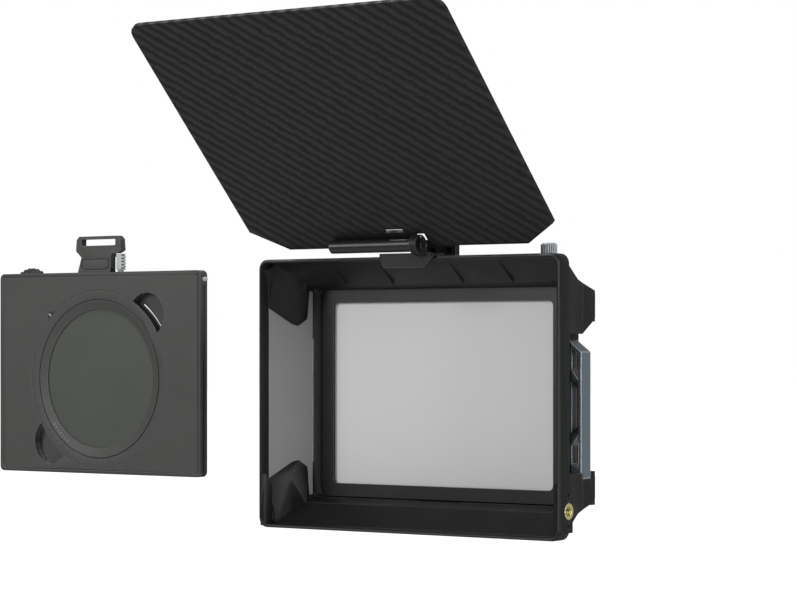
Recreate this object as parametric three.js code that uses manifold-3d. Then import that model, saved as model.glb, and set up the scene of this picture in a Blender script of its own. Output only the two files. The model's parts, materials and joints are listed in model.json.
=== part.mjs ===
// Matte box for 4 x 5.65 in filters: funnel hood, tilting top flag, filter stage with two slots,
// lens clamp, and a variable-density filter tray that stands beside it, taken out.
// Millimetres. +X right, -Y towards the scene, +Z up. The pieces are placed about the optical axis
// with y = 0 at the front filter's face, and the whole group is then moved so that its origin lies
// on the axis at the rear face of the lens clamp.

import * as THREE from 'three';
import { ConvexGeometry } from 'three/addons/geometries/ConvexGeometry.js';
import { mergeVertices } from 'three/addons/utils/BufferGeometryUtils.js';
import Module from 'manifold-3d';

const wasm = await Module();
wasm.setup();

// Running and seating clearances, the seam between two rigid pieces, and the overrun of every cut
const fit = 0.3;
const slide = 0.4;
const seam = 0.1;
const overrun = 2;
const weld = 0.0004;

// Front filter and its frame
const filter = {
  glassWidth: 143.5, glassHeight: 101.6, glassThickness: 1.1, edgeX: 3.25, edgeZ: 3.05, clearCorner: 2.5,
  glassPlay: 0.25,
};
const glassHalfX = filter.glassWidth / 2;
const glassHalfZ = filter.glassHeight / 2;
const clearHalfX = glassHalfX - filter.edgeX;
const clearHalfZ = glassHalfZ - filter.edgeZ;
const frameBorder = { side: 4.25, tongue: 1.4, low: 3.8, high: 10 };
const filterFrame = {
  halfWidth: glassHalfX + frameBorder.side,
  tongueHalfWidth: glassHalfX + frameBorder.side + frameBorder.tongue,
  lowZ: -glassHalfZ - frameBorder.low,
  highZ: glassHalfZ + frameBorder.high,
  thickness: 4.4, tongueThickness: 2, lip: 1.2,
};
const filterTab = {
  halfWidth: 9.35, topZ: 80, frontY: 0.6, backY: 4, footDepth: 4.6, recessWidth: 3.9,
  recessHeight: 3.4, recessDepth: 1.4, recessTop: 4.4, recessX: 5.2,
};
const clip = { z: 0, length: 16, width: 2.4, thickness: 0.7 };

// Turning filter of the tray, about the tray's centre, and the tray round it
const round = {
  x: 0.4, z: -3.4, pocket: 51.6, outer: 51.3, step: 46, cone: 45, coneDepth: 1.1, clear: 40.2, glass: 43.6,
  rebate: 44, gearTeeth: 84, gearFront: 1.7, gearBack: 2.9, glassThickness: 1,
};
const trayEdge = { side: 24.9, low: 3 };
const tray = {
  x: -249.3, y: 15.6, z: 9.4, halfWidth: round.pocket + trayEdge.side,
  halfHeight: round.pocket - round.z + trayEdge.low, thickness: 6, corner: 3,
  coverInset: 2.2, coverThickness: 1.2, grooveDepth: 1.2, grooveFront: 2, grooveBack: 4.2, grooveStop: 9,
};

// Filter stage: walls beside the two slots, and a waist between the corner lobes
const stageWall = { front: 3.2, waist: 1.2, rear: 1.3, ear: 4.1, top: 1.2, plate: 6 };
const stage = {
  frontHalfWidth: filterFrame.tongueHalfWidth + slide + stageWall.front,
  waistHalfWidth: filterFrame.tongueHalfWidth + slide + stageWall.waist,
  rearHalfWidth: tray.halfWidth + slide + stageWall.rear,
  earHalfWidth: tray.halfWidth + slide + stageWall.ear,
  plateHalfWidth: tray.halfWidth - stageWall.plate,
  halfHeight: filterFrame.highZ + stageWall.top,
  cutX: 14, cutZ: 8, waistY: 2, splitY: 7.4, rearY: 20,
};
const throatGap = { side: 0.6, height: 4.4 };
const throat = {
  halfWidth: filterFrame.halfWidth + throatGap.side,
  halfHeight: glassHalfZ + throatGap.height,
  circle: 57.2, corner: 4, wallBackY: -0.4, chamfer: 3.3,
};
const lightGap = { x: 0.25, z: 0.8 };
const frontLight = { halfWidth: glassHalfX - lightGap.x, halfHeight: glassHalfZ - lightGap.z, corner: 4 };
const stageScrew = { z: 47, zLow: -47 };
const rearSlot = { frontWall: 1.2 };

// Hood: a straight rim, a steep throat behind it and a nearly level end at the stage
const flare = { rearX: 2.7, rearZ: 0.1, bendX: 4.1, bendZ: 2.5, mouthX: 12.05, mouthZ: 13.1 };
const hood = {
  rearInnerX: throat.halfWidth + flare.rearX, rearInnerZ: throat.halfHeight + flare.rearZ,
  depth: 29.3, rimDepth: 9.5, mouthDepth: 6.8, bendDepth: 7.7, rearY: -4, corner: 5, lipBevel: 1,
  lipWall: 1.9, rearWall: 1.8, shoulder: 1.6, innerCorner: 3,
};
const mouthHalfX = hood.rearInnerX + flare.mouthX;
const mouthHalfZ = hood.rearInnerZ + flare.mouthZ;
const hoodHalfX = mouthHalfX + hood.lipWall;
const hoodHalfZ = mouthHalfZ + hood.lipWall;
const hoodFrontY = hood.rearY - hood.depth;
const rimBackY = hoodFrontY + hood.rimDepth;
const mouthStopY = hoodFrontY + hood.mouthDepth;
const bendY = hood.rearY - hood.bendDepth;
const ceilingRib = { places: [-51.7, -21.8, 21.8, 51.7], width: 1.6, height: 1.1, frontGap: 0.5 };

// Corner gussets: the foot on the side wall from front to back, then the free corners, each with its
// depth behind the rim's straight part, its inset from the wall and its drop below the ceiling
const gussetFoot = [[0, 23.6], [11.8, 23.5], [15.2, 22.1], [19.7, 17.1]];
const gussetRidge = [[0, 0, 3.5], [0.2, 4.2, 1.5]];
const gussetEdge = [[8, 3, 19.3], [8, 3, 8.2]];
const gussetTop = { depth: 14.8, inset: 5.4, rearDepth: 19.7, rearDrop: 2.2 };
const panel = { thickness: 1, highDrop: 0.7 };
const lobe = {
  side: 7.3, lowZ: 31, highZ: 57.9, frontHighZ: 66.9, bottomLowZ: 38.1, rootWidth: 7,
  frontY: -10, rearY: 8, rearLowZ: 37.3, rearHighZ: 53.2, corner: 2,
};

// Accessory socket in each side of the rim
const socket = { z: -55.9, y: -25, radius: 4.1, bore: 2.7, length: 3, pinGap: 7.5, pinRadius: 1.2,
  pinDepth: 2.4 };
const pad = { rearY: -20, lowZ: -66.5, highZ: -45, chamfer: 1.5 };
const boss = { inset: 2.35, frontGap: 0.8, frontZ: -42.3, rearZ: -49.4 };

// Lens clamp
const clamp = {
  bore: 57, outer: 61, rearY: 43.7, flangeHalfWidth: 63, flangeHalfHeight: 60.5, flangeThickness: 2.5,
  flangeCorner: 10, slit: 1.8, earWidth: 8, earTopZ: 71, earFrontY: 26, earBackY: 40, screwX: 58.2,
    screwZ: 50,
};
const clampScrew = { z: 66, shank: 2.4, head: 4.6, headLength: 6, length: 22 };
const lockKnob = {
  x: 49, y: 27.5, headRadius: 4.3, topZ: 77.9, headLength: 11, shank: 2, blockHalf: 5.5, blockTop: 65,
    reach: 9,
  socketDepth: 3,
};

// Side frames
const sideFrame = {
  width: 8.7, frontY: -5, backY: 4, wall: 1.4, root: 2.7, rootBackY: 0.5, topZ: 22, topRootZ: 28.6,
  bottomZ: -41, bottomRootZ: -36.4, rib: 3.4,
};
const sideFrameInnerX = stage.waistHalfWidth + fit;
const sideFrameOuterX = sideFrameInnerX + sideFrame.width;
const sideWindow = { upperLow: 13.4, middleHigh: 8, middleLow: -14.4, lowerHigh: -19.6, lowerLow: -36.2,
  slope: 5.2 };

// Flag and hinge
const hinge = { ahead: 3.7, rise: 5.45, tilt: THREE.MathUtils.degToRad(44.8) };
const hingeY = hoodFrontY - hinge.ahead;
const hingeZ = hoodHalfZ + hinge.rise;
const flag = {
  halfWidth: 93.65, low: -4.65, high: 147.15, faceGap: 4, thickness: 2, topCorner: 7,
  cutWidth: 20, cutHeight: 13, slotLow: 5.2, slotHigh: 7.2, slotLeft: -8.5, slotRight: 3.6, notchHigh: 3.85,
};
const barrel = { radius: 3.45, left: -42.4, right: 9.3, chamfer: 0.8, leafThickness: 1.4, leafLow: -3.2,
  leafHigh: 1.2 };
const ear = { left: 9.6, right: 13.5, radius: 5.2, screwRing: 4, screwRadius: 0.85, screwHead: 0.5 };
const base = { left: -13, right: 19, drop: 5.8, thickness: 2.4, footHeight: 1.5, footLength: 11.1,
  chamfer: 5 };
const hingePin = { radius: 1.6, head: 2.4, headLength: 1.4 };

// Filter tray and what it carries, about the tray's own centre, y = 0 at its front face
const gear = { module: 1.2, addendum: 0.42, dedendum: 0.95, tipShare: 0.2, rootShare: 0.36 };
const idler = { teeth: 10, bore: 1.35, pin: 1.15, seat: 0.8 };
const wheel = {
  radius: 15.6, teeth: 19, scallops: 30, scallopDepth: 0.6, front: 3.15, back: 4.9, bore: 2.2, axle: 2,
  bearing: 138.3,
};
const recess = { radius: 13, floorY: 4.7, bearings: [45, 225], sliver: 1.2, sliverGap: 0.2, sliverArc: 20 };
const notch = { bearing: 135.5, width: 3, reach: 2.4, depth: 0.8, pinWidth: 0.9, pinLength: 2,
  pinHeight: 0.6 };
const handle = {
  x: -0.6, neckLeft: -16.3, neckTopLeft: -13.5, neckRight: 8.8, neckHeight: 8.6, flareHeight: 12.4,
  halfWidth: 17.1, taper: 0.5, height: 20.8, front: 1.2, back: 5.6, slotWall: 4.1, slotLow: 15.4,
  slotHigh: 19.1, footHalf: 10, footHeight: 9, footFront: 4.7, corner: 2, screwX: 6,
};
const latchDrop = 5;
const latch = {
  z: tray.halfHeight - latchDrop, barHeight: 2.6, barFront: 2.2, barBack: 4, pin: 1.3, pinProud: 1.6,
  travel: 3, armLeft: 13.4, armWidth: 3, buttonRight: 17.1, buttonLeft: 12.9, buttonLow: 1.2,
  buttonHigh: 10.4, ridges: 5, ridgeDepth: 0.8, buttonFront: 1.6, buttonBack: 5.2,
};
const spring = { turns: 7, radius: 0.85, wire: 0.22, left: 3.4, steps: 8, sides: 5 };

// Fasteners and small parts
const stageScrewSize = { shank: 0.8, head: 1.4, headHeight: 1.2, bite: 0, edge: 1.9 };
const flangeScrewSize = { shank: 1.2, head: 2.2, headHeight: 1.6, bite: 3 };
const smallScrew = { shank: 0.8, length: 1.8, head: 1.4, headHeight: 0.7 };
const handleScrew = { shank: 0.9, length: 1, head: 1.6, headHeight: 0.4 };
const knurl = { depth: 0.4, count: 20 };
const filterSeal = { thickness: 0.5, gap: 0.1, inset: 0.8 };
const rearRing = { thickness: 0.5, gap: 0.1 };
const ringGroove = { width: 0.7, depth: 0.5 };
const plaque = { x: -3.3, half: 10.7, high: 6.4, corner: 2.4, line: 0.5, depth: 0.4 };
const handleSlotCorner = 0.6;
const coverScrewInset = 3.4;
const coverScrewTipY = 0.7;
const hexShare = 0.55;
const headCoreShare = 0.45;

// Facets: steps of a quarter round, and sides of large, middling and small rods
const arcSteps = 4;
const wideSides = 72;
const roundSides = 40;
const screwSides = 12;
const hexSides = 6;

// Finishes
const finish = (colour, roughness, metalness, opacity = 1) =>
  new THREE.MeshStandardMaterial({ color: colour, roughness, metalness, opacity, transparent: opacity < 1 });
const blackNylon = () => finish(0x2a2b2c, 0.55, 0);
const satinGrey = () => finish(0x707070, 0.5, 0.2);
const blueGrey = () => finish(0x59636b, 0.45, 0.8);
const trayGrey = () => finish(0x4e4e4e, 0.5, 0.4);
const darkSteel = () => finish(0x2c2d2f, 0.4, 0.8);
const brightSteel = () => finish(0xb4b6b8, 0.3, 0.9);
const brass = () => finish(0xb8a24a, 0.3, 0.9);
const clearGlass = () => finish(0xdfe3e4, 0.05, 0, 0.3);
const darkGlass = () => finish(0x343832, 0.08, 0, 0.8);
const carbon = () => finish(0x1e1e1f, 0.5, 0);
const paleNylon = () => finish(0xa8adab, 0.5, 0);
const foam = () => finish(0x161616, 0.9, 0);

// Closed triangle meshes to solids and back
function solid(geometry) {
  const plain = geometry.clone();
  plain.deleteAttribute('normal');
  plain.deleteAttribute('uv');
  const merged = mergeVertices(plain, weld);
  return new wasm.Manifold(new wasm.Mesh({
    numProp: 3,
    vertProperties: new Float32Array(merged.attributes.position.array),
    triVerts: new Uint32Array(merged.index.array),
  }));
}

function geometryOf(body) {
  const mesh = body.getMesh();
  const geometry = new THREE.BufferGeometry();
  geometry.setAttribute('position', new THREE.BufferAttribute(new Float32Array(mesh.vertProperties), 3));
  geometry.setIndex(new THREE.BufferAttribute(new Uint32Array(mesh.triVerts), 1));
  geometry.computeVertexNormals();
  return geometry;
}

function add(group, name, body, material, place = [0, 0, 0]) {
  const mesh = new THREE.Mesh(geometryOf(body), material);
  mesh.name = name;
  mesh.position.set(...place);
  group.add(mesh);
  return mesh;
}

const joined = (...bodies) => bodies.reduce((whole, body) => whole.add(body));
const cut = (body, ...tools) => tools.reduce((rest, tool) => rest.subtract(tool), body);

// Corners of a rounded rectangle: the sign of each axis and the quarter turn its arc starts at
const quarters = [[1, 1, 0], [-1, 1, 1], [-1, -1, 2], [1, -1, 3]];

// Outlines. Along x an outline is drawn in (y, z), along y in (x, z) and along z in (x, y).
function outline(points) {
  return new THREE.Shape(points.map(([a, b]) => new THREE.Vector2(a, b)));
}

function rounded(halfA, halfB, radius, a = 0, b = 0) {
  const r = Math.min(radius, halfA, halfB);
  const shape = new THREE.Shape();
  for (const [signA, signB, quarter] of quarters) {
    const start = quarter * Math.PI / 2;
    shape.absarc(a + signA * (halfA - r), b + signB * (halfB - r), r, start, start + Math.PI / 2, false);
  }
  shape.closePath();
  return shape;
}

function disc(radius, a = 0, b = 0) {
  const shape = new THREE.Shape();
  shape.absarc(a, b, radius, 0, 2 * Math.PI, false);
  return shape;
}

const alongX = new THREE.Matrix4().set(0, 0, 1, 0, 1, 0, 0, 0, 0, 1, 0, 0, 0, 0, 0, 1);
const alongY = new THREE.Matrix4().set(1, 0, 0, 0, 0, 0, -1, 0, 0, 1, 0, 0, 0, 0, 0, 1);

function slab(shape, axis, low, high, steps = arcSteps / 2) {
  const geometry = new THREE.ExtrudeGeometry(shape,
    { depth: high - low, bevelEnabled: false, curveSegments: steps });
  if (axis === 'x') geometry.applyMatrix4(alongX).translate(low, 0, 0);
  if (axis === 'y') geometry.applyMatrix4(alongY).translate(0, high, 0);
  if (axis === 'z') geometry.translate(0, 0, low);
  return solid(geometry);
}

const rod = (axis, radius, low, high, a = 0, b = 0, sides = roundSides) =>
  slab(disc(radius, a, b), axis, low, high, sides / 2);

function block(x0, x1, y0, y1, z0, z1) {
  const geometry = new THREE.BoxGeometry(Math.abs(x1 - x0), Math.abs(y1 - y0), Math.abs(z1 - z0));
  geometry.translate((x0 + x1) / 2, (y0 + y1) / 2, (z0 + z1) / 2);
  return solid(geometry);
}

// A closed skin over rings of equal count, each counter-clockwise in (x, z) and further back in y
function loft(rings) {
  const count = rings[0].length;
  const positions = rings.flat(2);
  const index = [];
  for (let i = 1; i < count - 1; i += 1) {
    index.push(0, i, i + 1);
    const last = (rings.length - 1) * count;
    index.push(last, last + i + 1, last + i);
  }
  for (let ring = 0; ring < rings.length - 1; ring += 1) {
    for (let i = 0; i < count; i += 1) {
      const a = ring * count + i;
      const b = ring * count + (i + 1) % count;
      index.push(a, a + count, b, b, a + count, b + count);
    }
  }
  const geometry = new THREE.BufferGeometry();
  geometry.setAttribute('position', new THREE.Float32BufferAttribute(positions, 3));
  geometry.setIndex(index);
  return solid(geometry);
}

function ring(halfX, halfZ, radius, y) {
  const points = [];
  for (const [signX, signZ, quarter] of quarters) {
    for (let i = 0; i <= arcSteps; i += 1) {
      const angle = (quarter + i / arcSteps) * Math.PI / 2;
      const x = signX * (halfX - radius) + radius * Math.cos(angle);
      const z = signZ * (halfZ - radius) + radius * Math.sin(angle);
      points.push([x, y, z]);
    }
  }
  return points;
}

// A toothed outline with short, narrow teeth that roll with play; phase turns its first tooth
function toothed(teeth, a, b, phase) {
  const pitch = teeth * gear.module / 2;
  const tip = pitch + gear.addendum;
  const root = pitch - gear.dedendum;
  const step = 2 * Math.PI / teeth;
  const flanks = [[-gear.rootShare / 2, root], [-gear.tipShare / 2, tip], [gear.tipShare / 2, tip],
    [gear.rootShare / 2, root]];
  const points = [];
  for (let tooth = 0; tooth < teeth; tooth += 1) {
    for (const [share, radius] of flanks) {
      const angle = phase + (tooth + share) * step;
      points.push([a + radius * Math.cos(angle), b + radius * Math.sin(angle)]);
    }
  }
  return outline(points);
}

// A hex-socket screw whose head stands on z = 0 and whose shank reaches down
function capScrew({ shank, length, head, headHeight }) {
  const body = joined(
    rod('z', head, 0, headHeight, 0, 0, screwSides),
    rod('z', shank, -length, headHeight * headCoreShare, 0, 0, screwSides),
  );
  return cut(body, rod('z', head * hexShare, headHeight * headCoreShare, headHeight + overrun, 0, 0,
    hexSides));
}

const facing = { back: [-Math.PI / 2, 0, 0], right: [0, Math.PI / 2, 0] };

function addScrew(group, name, size, place, way, material = darkSteel()) {
  const mesh = add(group, name, capScrew(size), material, place);
  mesh.rotation.set(...facing[way]);
}

// Half width and half height inside the hood at a depth: straight, then steep, then nearly level
const hoodStations = [
  { y: hoodFrontY - overrun, x: mouthHalfX, z: mouthHalfZ },
  { y: mouthStopY, x: mouthHalfX, z: mouthHalfZ },
  { y: bendY, x: hood.rearInnerX + flare.bendX, z: hood.rearInnerZ + flare.bendZ },
  { y: hood.rearY, x: hood.rearInnerX, z: hood.rearInnerZ },
  { y: hood.rearY + overrun, x: hood.rearInnerX, z: hood.rearInnerZ },
];

function funnel(y) {
  const next = Math.max(1, hoodStations.findIndex((station) => station.y >= y));
  const [a, b] = hoodStations.slice(next - 1, next + 1);
  const share = (y - a.y) / (b.y - a.y);
  return { x: a.x + share * (b.x - a.x), z: a.z + share * (b.z - a.z) };
}

function funnelRing(y, grow, radius) {
  const size = funnel(y);
  return ring(size.x + grow, size.z + grow, radius, y);
}

const between = (a, b, share) => a + (b - a) * share;

const mirrored = (points, side, up = 1) => points.map(([x, y, z]) => [side * x, y, up * z]);

// Side panel in a side of the hood: a plan that follows the wall, cut by its view from the side
function sidePanelBody(side, grow) {
  const y0 = mouthStopY - grow;
  const rear = grow > 0 ? [hood.rearY, hood.rearY + overrun] : [hood.rearY - seam];
  const y1 = rear[rear.length - 1];
  const wall = [y0, bendY, ...rear].map((y) => [funnel(y).x, y]);
  const plan = outline([
    ...wall.map(([x, y]) => [side * (x - grow), y]),
    ...wall.map(([x, y]) => [side * (x + panel.thickness + grow), y]).reverse(),
  ]);
  const full = hood.rearInnerZ - panel.highDrop + grow;
  const foot = gussetFoot.map(([depth, drop]) => {
    const y = mouthStopY + depth;
    return [y, funnel(y).z - drop + grow];
  });
  foot[0][0] = y0;
  foot[foot.length - 1][0] -= grow;
  const upper = [...foot, [foot[foot.length - 1][0], full], [y1, full]];
  const view = outline([...upper, ...upper.map(([y, z]) => [y, -z]).reverse()]);
  const reach = side > 0 ? [0, hoodHalfX] : [-hoodHalfX, 0];
  return slab(plan, 'z', -full, full).intersect(slab(view, 'x', ...reach));
}

// Corner gusset inside the hood: the hull of its free corners and of points within the walls
function gussetBody(side, up) {
  const place = ([depth, inset, drop]) => {
    const y = mouthStopY + depth;
    return [funnel(y).x - inset, y, funnel(y).z - drop];
  };
  const within = -hood.rearWall / 2;
  const foot = gussetFoot.flatMap(([depth, drop]) => [[depth, 0, drop], [depth, within, drop]]);
  const [front, ridge] = gussetRidge;
  const top = [
    front,
    [front[0], within, hood.corner / 2],
    ridge,
    [ridge[0], ridge[1], within],
    ...gussetEdge,
    [gussetTop.depth, gussetTop.inset, within],
    [gussetTop.rearDepth, 0, gussetTop.rearDrop],
    [gussetTop.rearDepth, hood.innerCorner / 2, within / 2],
  ];
  const points = mirrored([...foot, ...top].map(place), side, up);
  return solid(new ConvexGeometry(points.map((point) => new THREE.Vector3(...point))));
}

// Boss on the floor of the rim at each side, behind the accessory socket
function bossBody(side) {
  const y0 = hoodFrontY + boss.frontGap;
  const view = outline([[y0, boss.frontZ], [y0, -mouthHalfZ - hood.lipWall / 2],
    [mouthStopY, -mouthHalfZ - hood.lipWall / 2], [mouthStopY, boss.rearZ]]);
  const ends = [side * (mouthHalfX - boss.inset), side * (mouthHalfX + hood.lipWall / 2)];
  return slab(view, 'x', Math.min(...ends), Math.max(...ends));
}

// Outer lobe at a corner, from the rim back to the stage
function hoodLobeBody(side, up) {
  const low = up > 0 ? lobe.lowZ : lobe.bottomLowZ;
  const root = hood.rearInnerX - lobe.rootWidth;
  const section = (halfWidth, high, y) => {
    const xs = side > 0 ? [root, halfWidth] : [-halfWidth, -root];
    const zs = up > 0 ? [low, high] : [-high, -low];
    return [[xs[1], y, zs[0]], [xs[1], y, zs[1]], [xs[0], y, zs[1]], [xs[0], y, zs[0]]];
  };
  const rimX = hoodHalfX - hood.shoulder;
  const rimY = rimBackY - hood.shoulder;
  return loft([
    section(rimX, lobe.frontHighZ, rimY),
    section(between(rimX, lobeHalfX, (lobe.frontY - rimY) / (hood.rearY - rimY)), lobe.highZ, lobe.frontY),
    section(lobeHalfX, lobeSeatZ, hood.rearY),
  ]);
}

// Pad behind the rim's lower side, which carries the accessory socket
function padBody(side) {
  const x1 = hoodHalfX;
  const x0 = x1 - socket.length - hood.lipWall;
  const plan = outline([[side * x0, rimBackY - hood.shoulder], [side * x1, rimBackY - hood.shoulder],
    [side * x1, pad.rearY - pad.chamfer], [side * (x1 - pad.chamfer), pad.rearY], [side * x0, pad.rearY]]);
  return slab(plan, 'z', pad.lowZ, pad.highZ);
}

function sideRod(side, radius, reach, y, z, steps = roundSides) {
  const ends = [side * (hoodHalfX - reach), side * (hoodHalfX + overrun)].sort((a, b) => a - b);
  return rod('x', radius, ...ends, y, z, steps);
}

// Rib on the steep part of the ceiling
function ceilingRibBody(x) {
  const y0 = mouthStopY + ceilingRib.frontGap;
  const high = funnel(y0).z;
  const low = funnel(bendY).z;
  const view = outline([[y0, high + hood.rearWall / 2], [y0, high], [bendY, low - ceilingRib.height],
    [bendY, low + hood.rearWall / 2]]);
  return slab(view, 'x', x - ceilingRib.width / 2, x + ceilingRib.width / 2);
}

function hoodShell() {
  const lip = hood.lipBevel;
  let shell = loft([
    ring(hoodHalfX - lip, hoodHalfZ - lip, hood.corner, hoodFrontY),
    ring(hoodHalfX, hoodHalfZ, hood.corner, hoodFrontY + lip),
    ring(hoodHalfX, hoodHalfZ, hood.corner, rimBackY - lip),
    ring(hoodHalfX - lip, hoodHalfZ - lip, hood.corner, rimBackY),
    funnelRing(rimBackY + lip, hood.rearWall, hood.corner),
    funnelRing(bendY, hood.rearWall, hood.innerCorner + hood.rearWall),
    funnelRing(hood.rearY, hood.rearWall, hood.innerCorner + hood.rearWall),
  ]);
  for (const side of [-1, 1]) {
    shell = joined(shell, hoodLobeBody(side, 1), hoodLobeBody(side, -1), padBody(side));
  }
  const mouth = loft(hoodStations.map(({ y }) => funnelRing(y, 0, hood.innerCorner)));
  shell = joined(cut(shell, mouth), ...ceilingRib.places.map(ceilingRibBody));
  for (const side of [-1, 1]) {
    shell = cut(
      joined(shell, gussetBody(side, 1), gussetBody(side, -1), bossBody(side)),
      sidePanelBody(side, fit),
      sideRod(side, socket.radius + fit / 2, socket.length + fit, socket.y, socket.z, screwSides),
      sideRod(side, socket.pinRadius, socket.pinDepth, socket.y, socket.z + socket.pinGap, screwSides),
      sideRod(side, socket.pinRadius, socket.pinDepth, socket.y, socket.z - socket.pinGap, screwSides),
      sideFrameEnvelope(side, fit),
    );
  }
  return shell;
}

function hoodPieces(group) {
  add(group, 'hood_shell', hoodShell(), blackNylon());
  for (const [side, hand] of [[-1, 'left'], [1, 'right']]) {
    add(group, `side_panel_${hand}`, sidePanelBody(side, 0), satinGrey());
    const x1 = side * hoodHalfX;
    const x0 = side * (hoodHalfX - socket.length);
    const ends = [Math.min(x0, x1), Math.max(x0, x1)];
    const insert = cut(
      rod('x', socket.radius, ...ends, socket.y, socket.z, screwSides),
      rod('x', socket.bore, ends[0] - overrun, ends[1] + overrun, socket.y, socket.z, screwSides),
    );
    add(group, `brass_insert_${hand}`, insert, brass());
  }
}

// Side frame: an upright bar beside the stage with three windows between sloping ribs
function sideFrameOutline(side, grow) {
  const inner = side * (sideFrameInnerX - grow);
  const outer = side * (sideFrameOuterX + grow);
  return outline([[inner, sideFrame.bottomRootZ - grow], [outer, sideFrame.bottomZ - grow],
    [outer, sideFrame.topZ + grow], [inner, sideFrame.topRootZ + grow]]);
}

function sideFrameEnvelope(side, grow) {
  const inner = sideFrameInnerX - grow;
  return cut(
    slab(sideFrameOutline(side, grow), 'y', sideFrame.frontY - grow, sideFrame.backY + grow),
    block(side * (inner - overrun), side * (inner + sideFrame.root + fit), sideFrame.frontY - overrun,
      hood.rearY + seam - grow, -hoodHalfZ, hoodHalfZ),
  );
}

// Each window runs through beside the outer bar, and behind the shallow inner one
function sideWindowBody(side, highRoot, highTip, lowTip, lowRoot) {
  const x1 = side * (sideFrameOuterX - sideFrame.wall);
  const view = (x0) => outline([[x0, lowRoot], [x1, lowTip], [x1, highTip], [x0, highRoot]]);
  return joined(
    slab(view(side * (sideFrameInnerX + sideFrame.root)), 'y', sideFrame.frontY - overrun,
      sideFrame.backY + overrun),
    slab(view(side * (sideFrameInnerX - fit)), 'y', sideFrame.rootBackY, sideFrame.backY + overrun),
  );
}

function sideFrameBody(side) {
  const slope = sideWindow.slope;
  const top = sideFrame.topRootZ - sideFrame.rib;
  return cut(
    sideFrameEnvelope(side, 0),
    sideWindowBody(side, top, top - slope, sideWindow.upperLow - slope, sideWindow.upperLow),
    sideWindowBody(side, sideWindow.middleHigh, sideWindow.middleHigh - slope, sideWindow.middleLow,
      sideWindow.middleLow - slope),
    sideWindowBody(side, sideWindow.lowerHigh - slope, sideWindow.lowerHigh, sideWindow.lowerLow,
      sideWindow.lowerLow + slope / 2),
  );
}

function sideFrames(group) {
  add(group, 'side_frame_left', sideFrameBody(-1), blueGrey());
  add(group, 'side_frame_right', sideFrameBody(1), blueGrey());
}

// Corner lobes on the stage, behind the hood's
const lobeHalfX = stage.earHalfWidth + lobe.side;

const lobeSeatZ = between(lobe.highZ, lobe.rearHighZ, (hood.rearY - lobe.frontY) / (lobe.rearY - lobe.frontY));

function stageLobeBody(side, up) {
  const z = (value) => up * value;
  const inner = stage.earHalfWidth + fit;
  const low = up > 0 ? lobe.lowZ : lobe.bottomLowZ;
  const rearLow = up > 0 ? lobe.rearLowZ : lobe.bottomLowZ;
  const view = outline([[hood.rearY, z(low)], [lobe.rearY - lobe.corner, z(rearLow)],
    [lobe.rearY, z(rearLow + lobe.corner)], [lobe.rearY, z(lobe.rearHighZ - lobe.corner)],
    [lobe.rearY - lobe.corner, z(lobe.rearHighZ)], [hood.rearY, z(lobeSeatZ)]]);
  const whole = slab(view, 'x', ...(side > 0 ? [inner, lobeHalfX] : [-lobeHalfX, -inner]));
  const root = block(side * (stage.waistHalfWidth - fit), side * (inner + fit), hood.rearY, stage.splitY,
    z(rearLow), z(lobe.rearHighZ));
  return joined(whole, root);
}

// Outline of a stage half with its four corners cut off
function stageOutline(halfWidth) {
  const corners = (side, up) => [[side * halfWidth, up * (stage.halfHeight - stage.cutZ)],
    [side * (halfWidth - stage.cutX), up * stage.halfHeight]];
  return outline([...corners(1, 1), ...corners(-1, 1).reverse(), ...corners(-1, -1),
    ...corners(1, -1).reverse()]);
}

const waistBody = (side, halfWidth, y0, y1, highZ) =>
  block(side * halfWidth, side * (lobeHalfX + overrun), y0, y1, -lobe.bottomLowZ, highZ);

function throatBody(y0, y1, grow) {
  const size = throat;
  const box = slab(rounded(size.halfWidth + grow, size.halfHeight + grow, size.corner), 'y', y0, y1);
  return joined(box, rod('y', size.circle + grow, y0, y1, 0, 0, wideSides));
}

const tongueFrontY = filterFrame.thickness - filterFrame.tongueThickness;
const frontSlotBackY = filterFrame.thickness + slide;

function frontSlotBody() {
  const z0 = filterFrame.lowZ - fit;
  const z1 = stage.halfHeight + overrun;
  const wide = filterFrame.tongueHalfWidth + slide;
  const narrow = filterFrame.halfWidth + slide;
  return joined(
    block(-wide, wide, tongueFrontY - slide, frontSlotBackY, z0, z1),
    block(-narrow, narrow, throat.wallBackY, frontSlotBackY, z0, z1),
  );
}

function stageScrewHole(x, z, radius) {
  return rod('y', radius, stage.splitY - stageScrewSize.bite - fit, stage.rearY + overrun, x, z, screwSides);
}

const stageScrewSpots = [[-1, stageScrew.z], [1, stageScrew.z], [-1, stageScrew.zLow], [1, stageScrew.zLow]]
  .map(([side, z]) => [side * (stage.earHalfWidth - stageScrewSize.edge), z]);

function stageFront() {
  let body = slab(stageOutline(stage.frontHalfWidth), 'y', hood.rearY, stage.splitY);
  for (const side of [-1, 1]) {
    body = joined(body, stageLobeBody(side, 1), stageLobeBody(side, -1));
    body = cut(body, waistBody(side, stage.waistHalfWidth, stage.waistY, stage.splitY + overrun, lobe.lowZ));
  }
  return cut(
    body,
    frontSlotBody(),
    throatBody(hood.rearY - overrun, throat.wallBackY + overrun, 0),
    loft([
      ring(hood.rearInnerX, hood.rearInnerZ, hood.innerCorner, hood.rearY - fit),
      ring(throat.halfWidth, throat.halfHeight, throat.corner, hood.rearY + throat.chamfer),
    ]),
    slab(rounded(frontLight.halfWidth, frontLight.halfHeight, frontLight.corner), 'y', 0,
      stage.splitY + overrun),
    sideFrameEnvelope(-1, fit),
    sideFrameEnvelope(1, fit),
  );
}

const slotFrontY = stage.splitY + rearSlot.frontWall;
const slotBackY = slotFrontY + tray.thickness + 2 * slide;
const insertedTopZ = tray.halfHeight - round.z;
const insertedLowZ = -tray.halfHeight - round.z;

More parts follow.
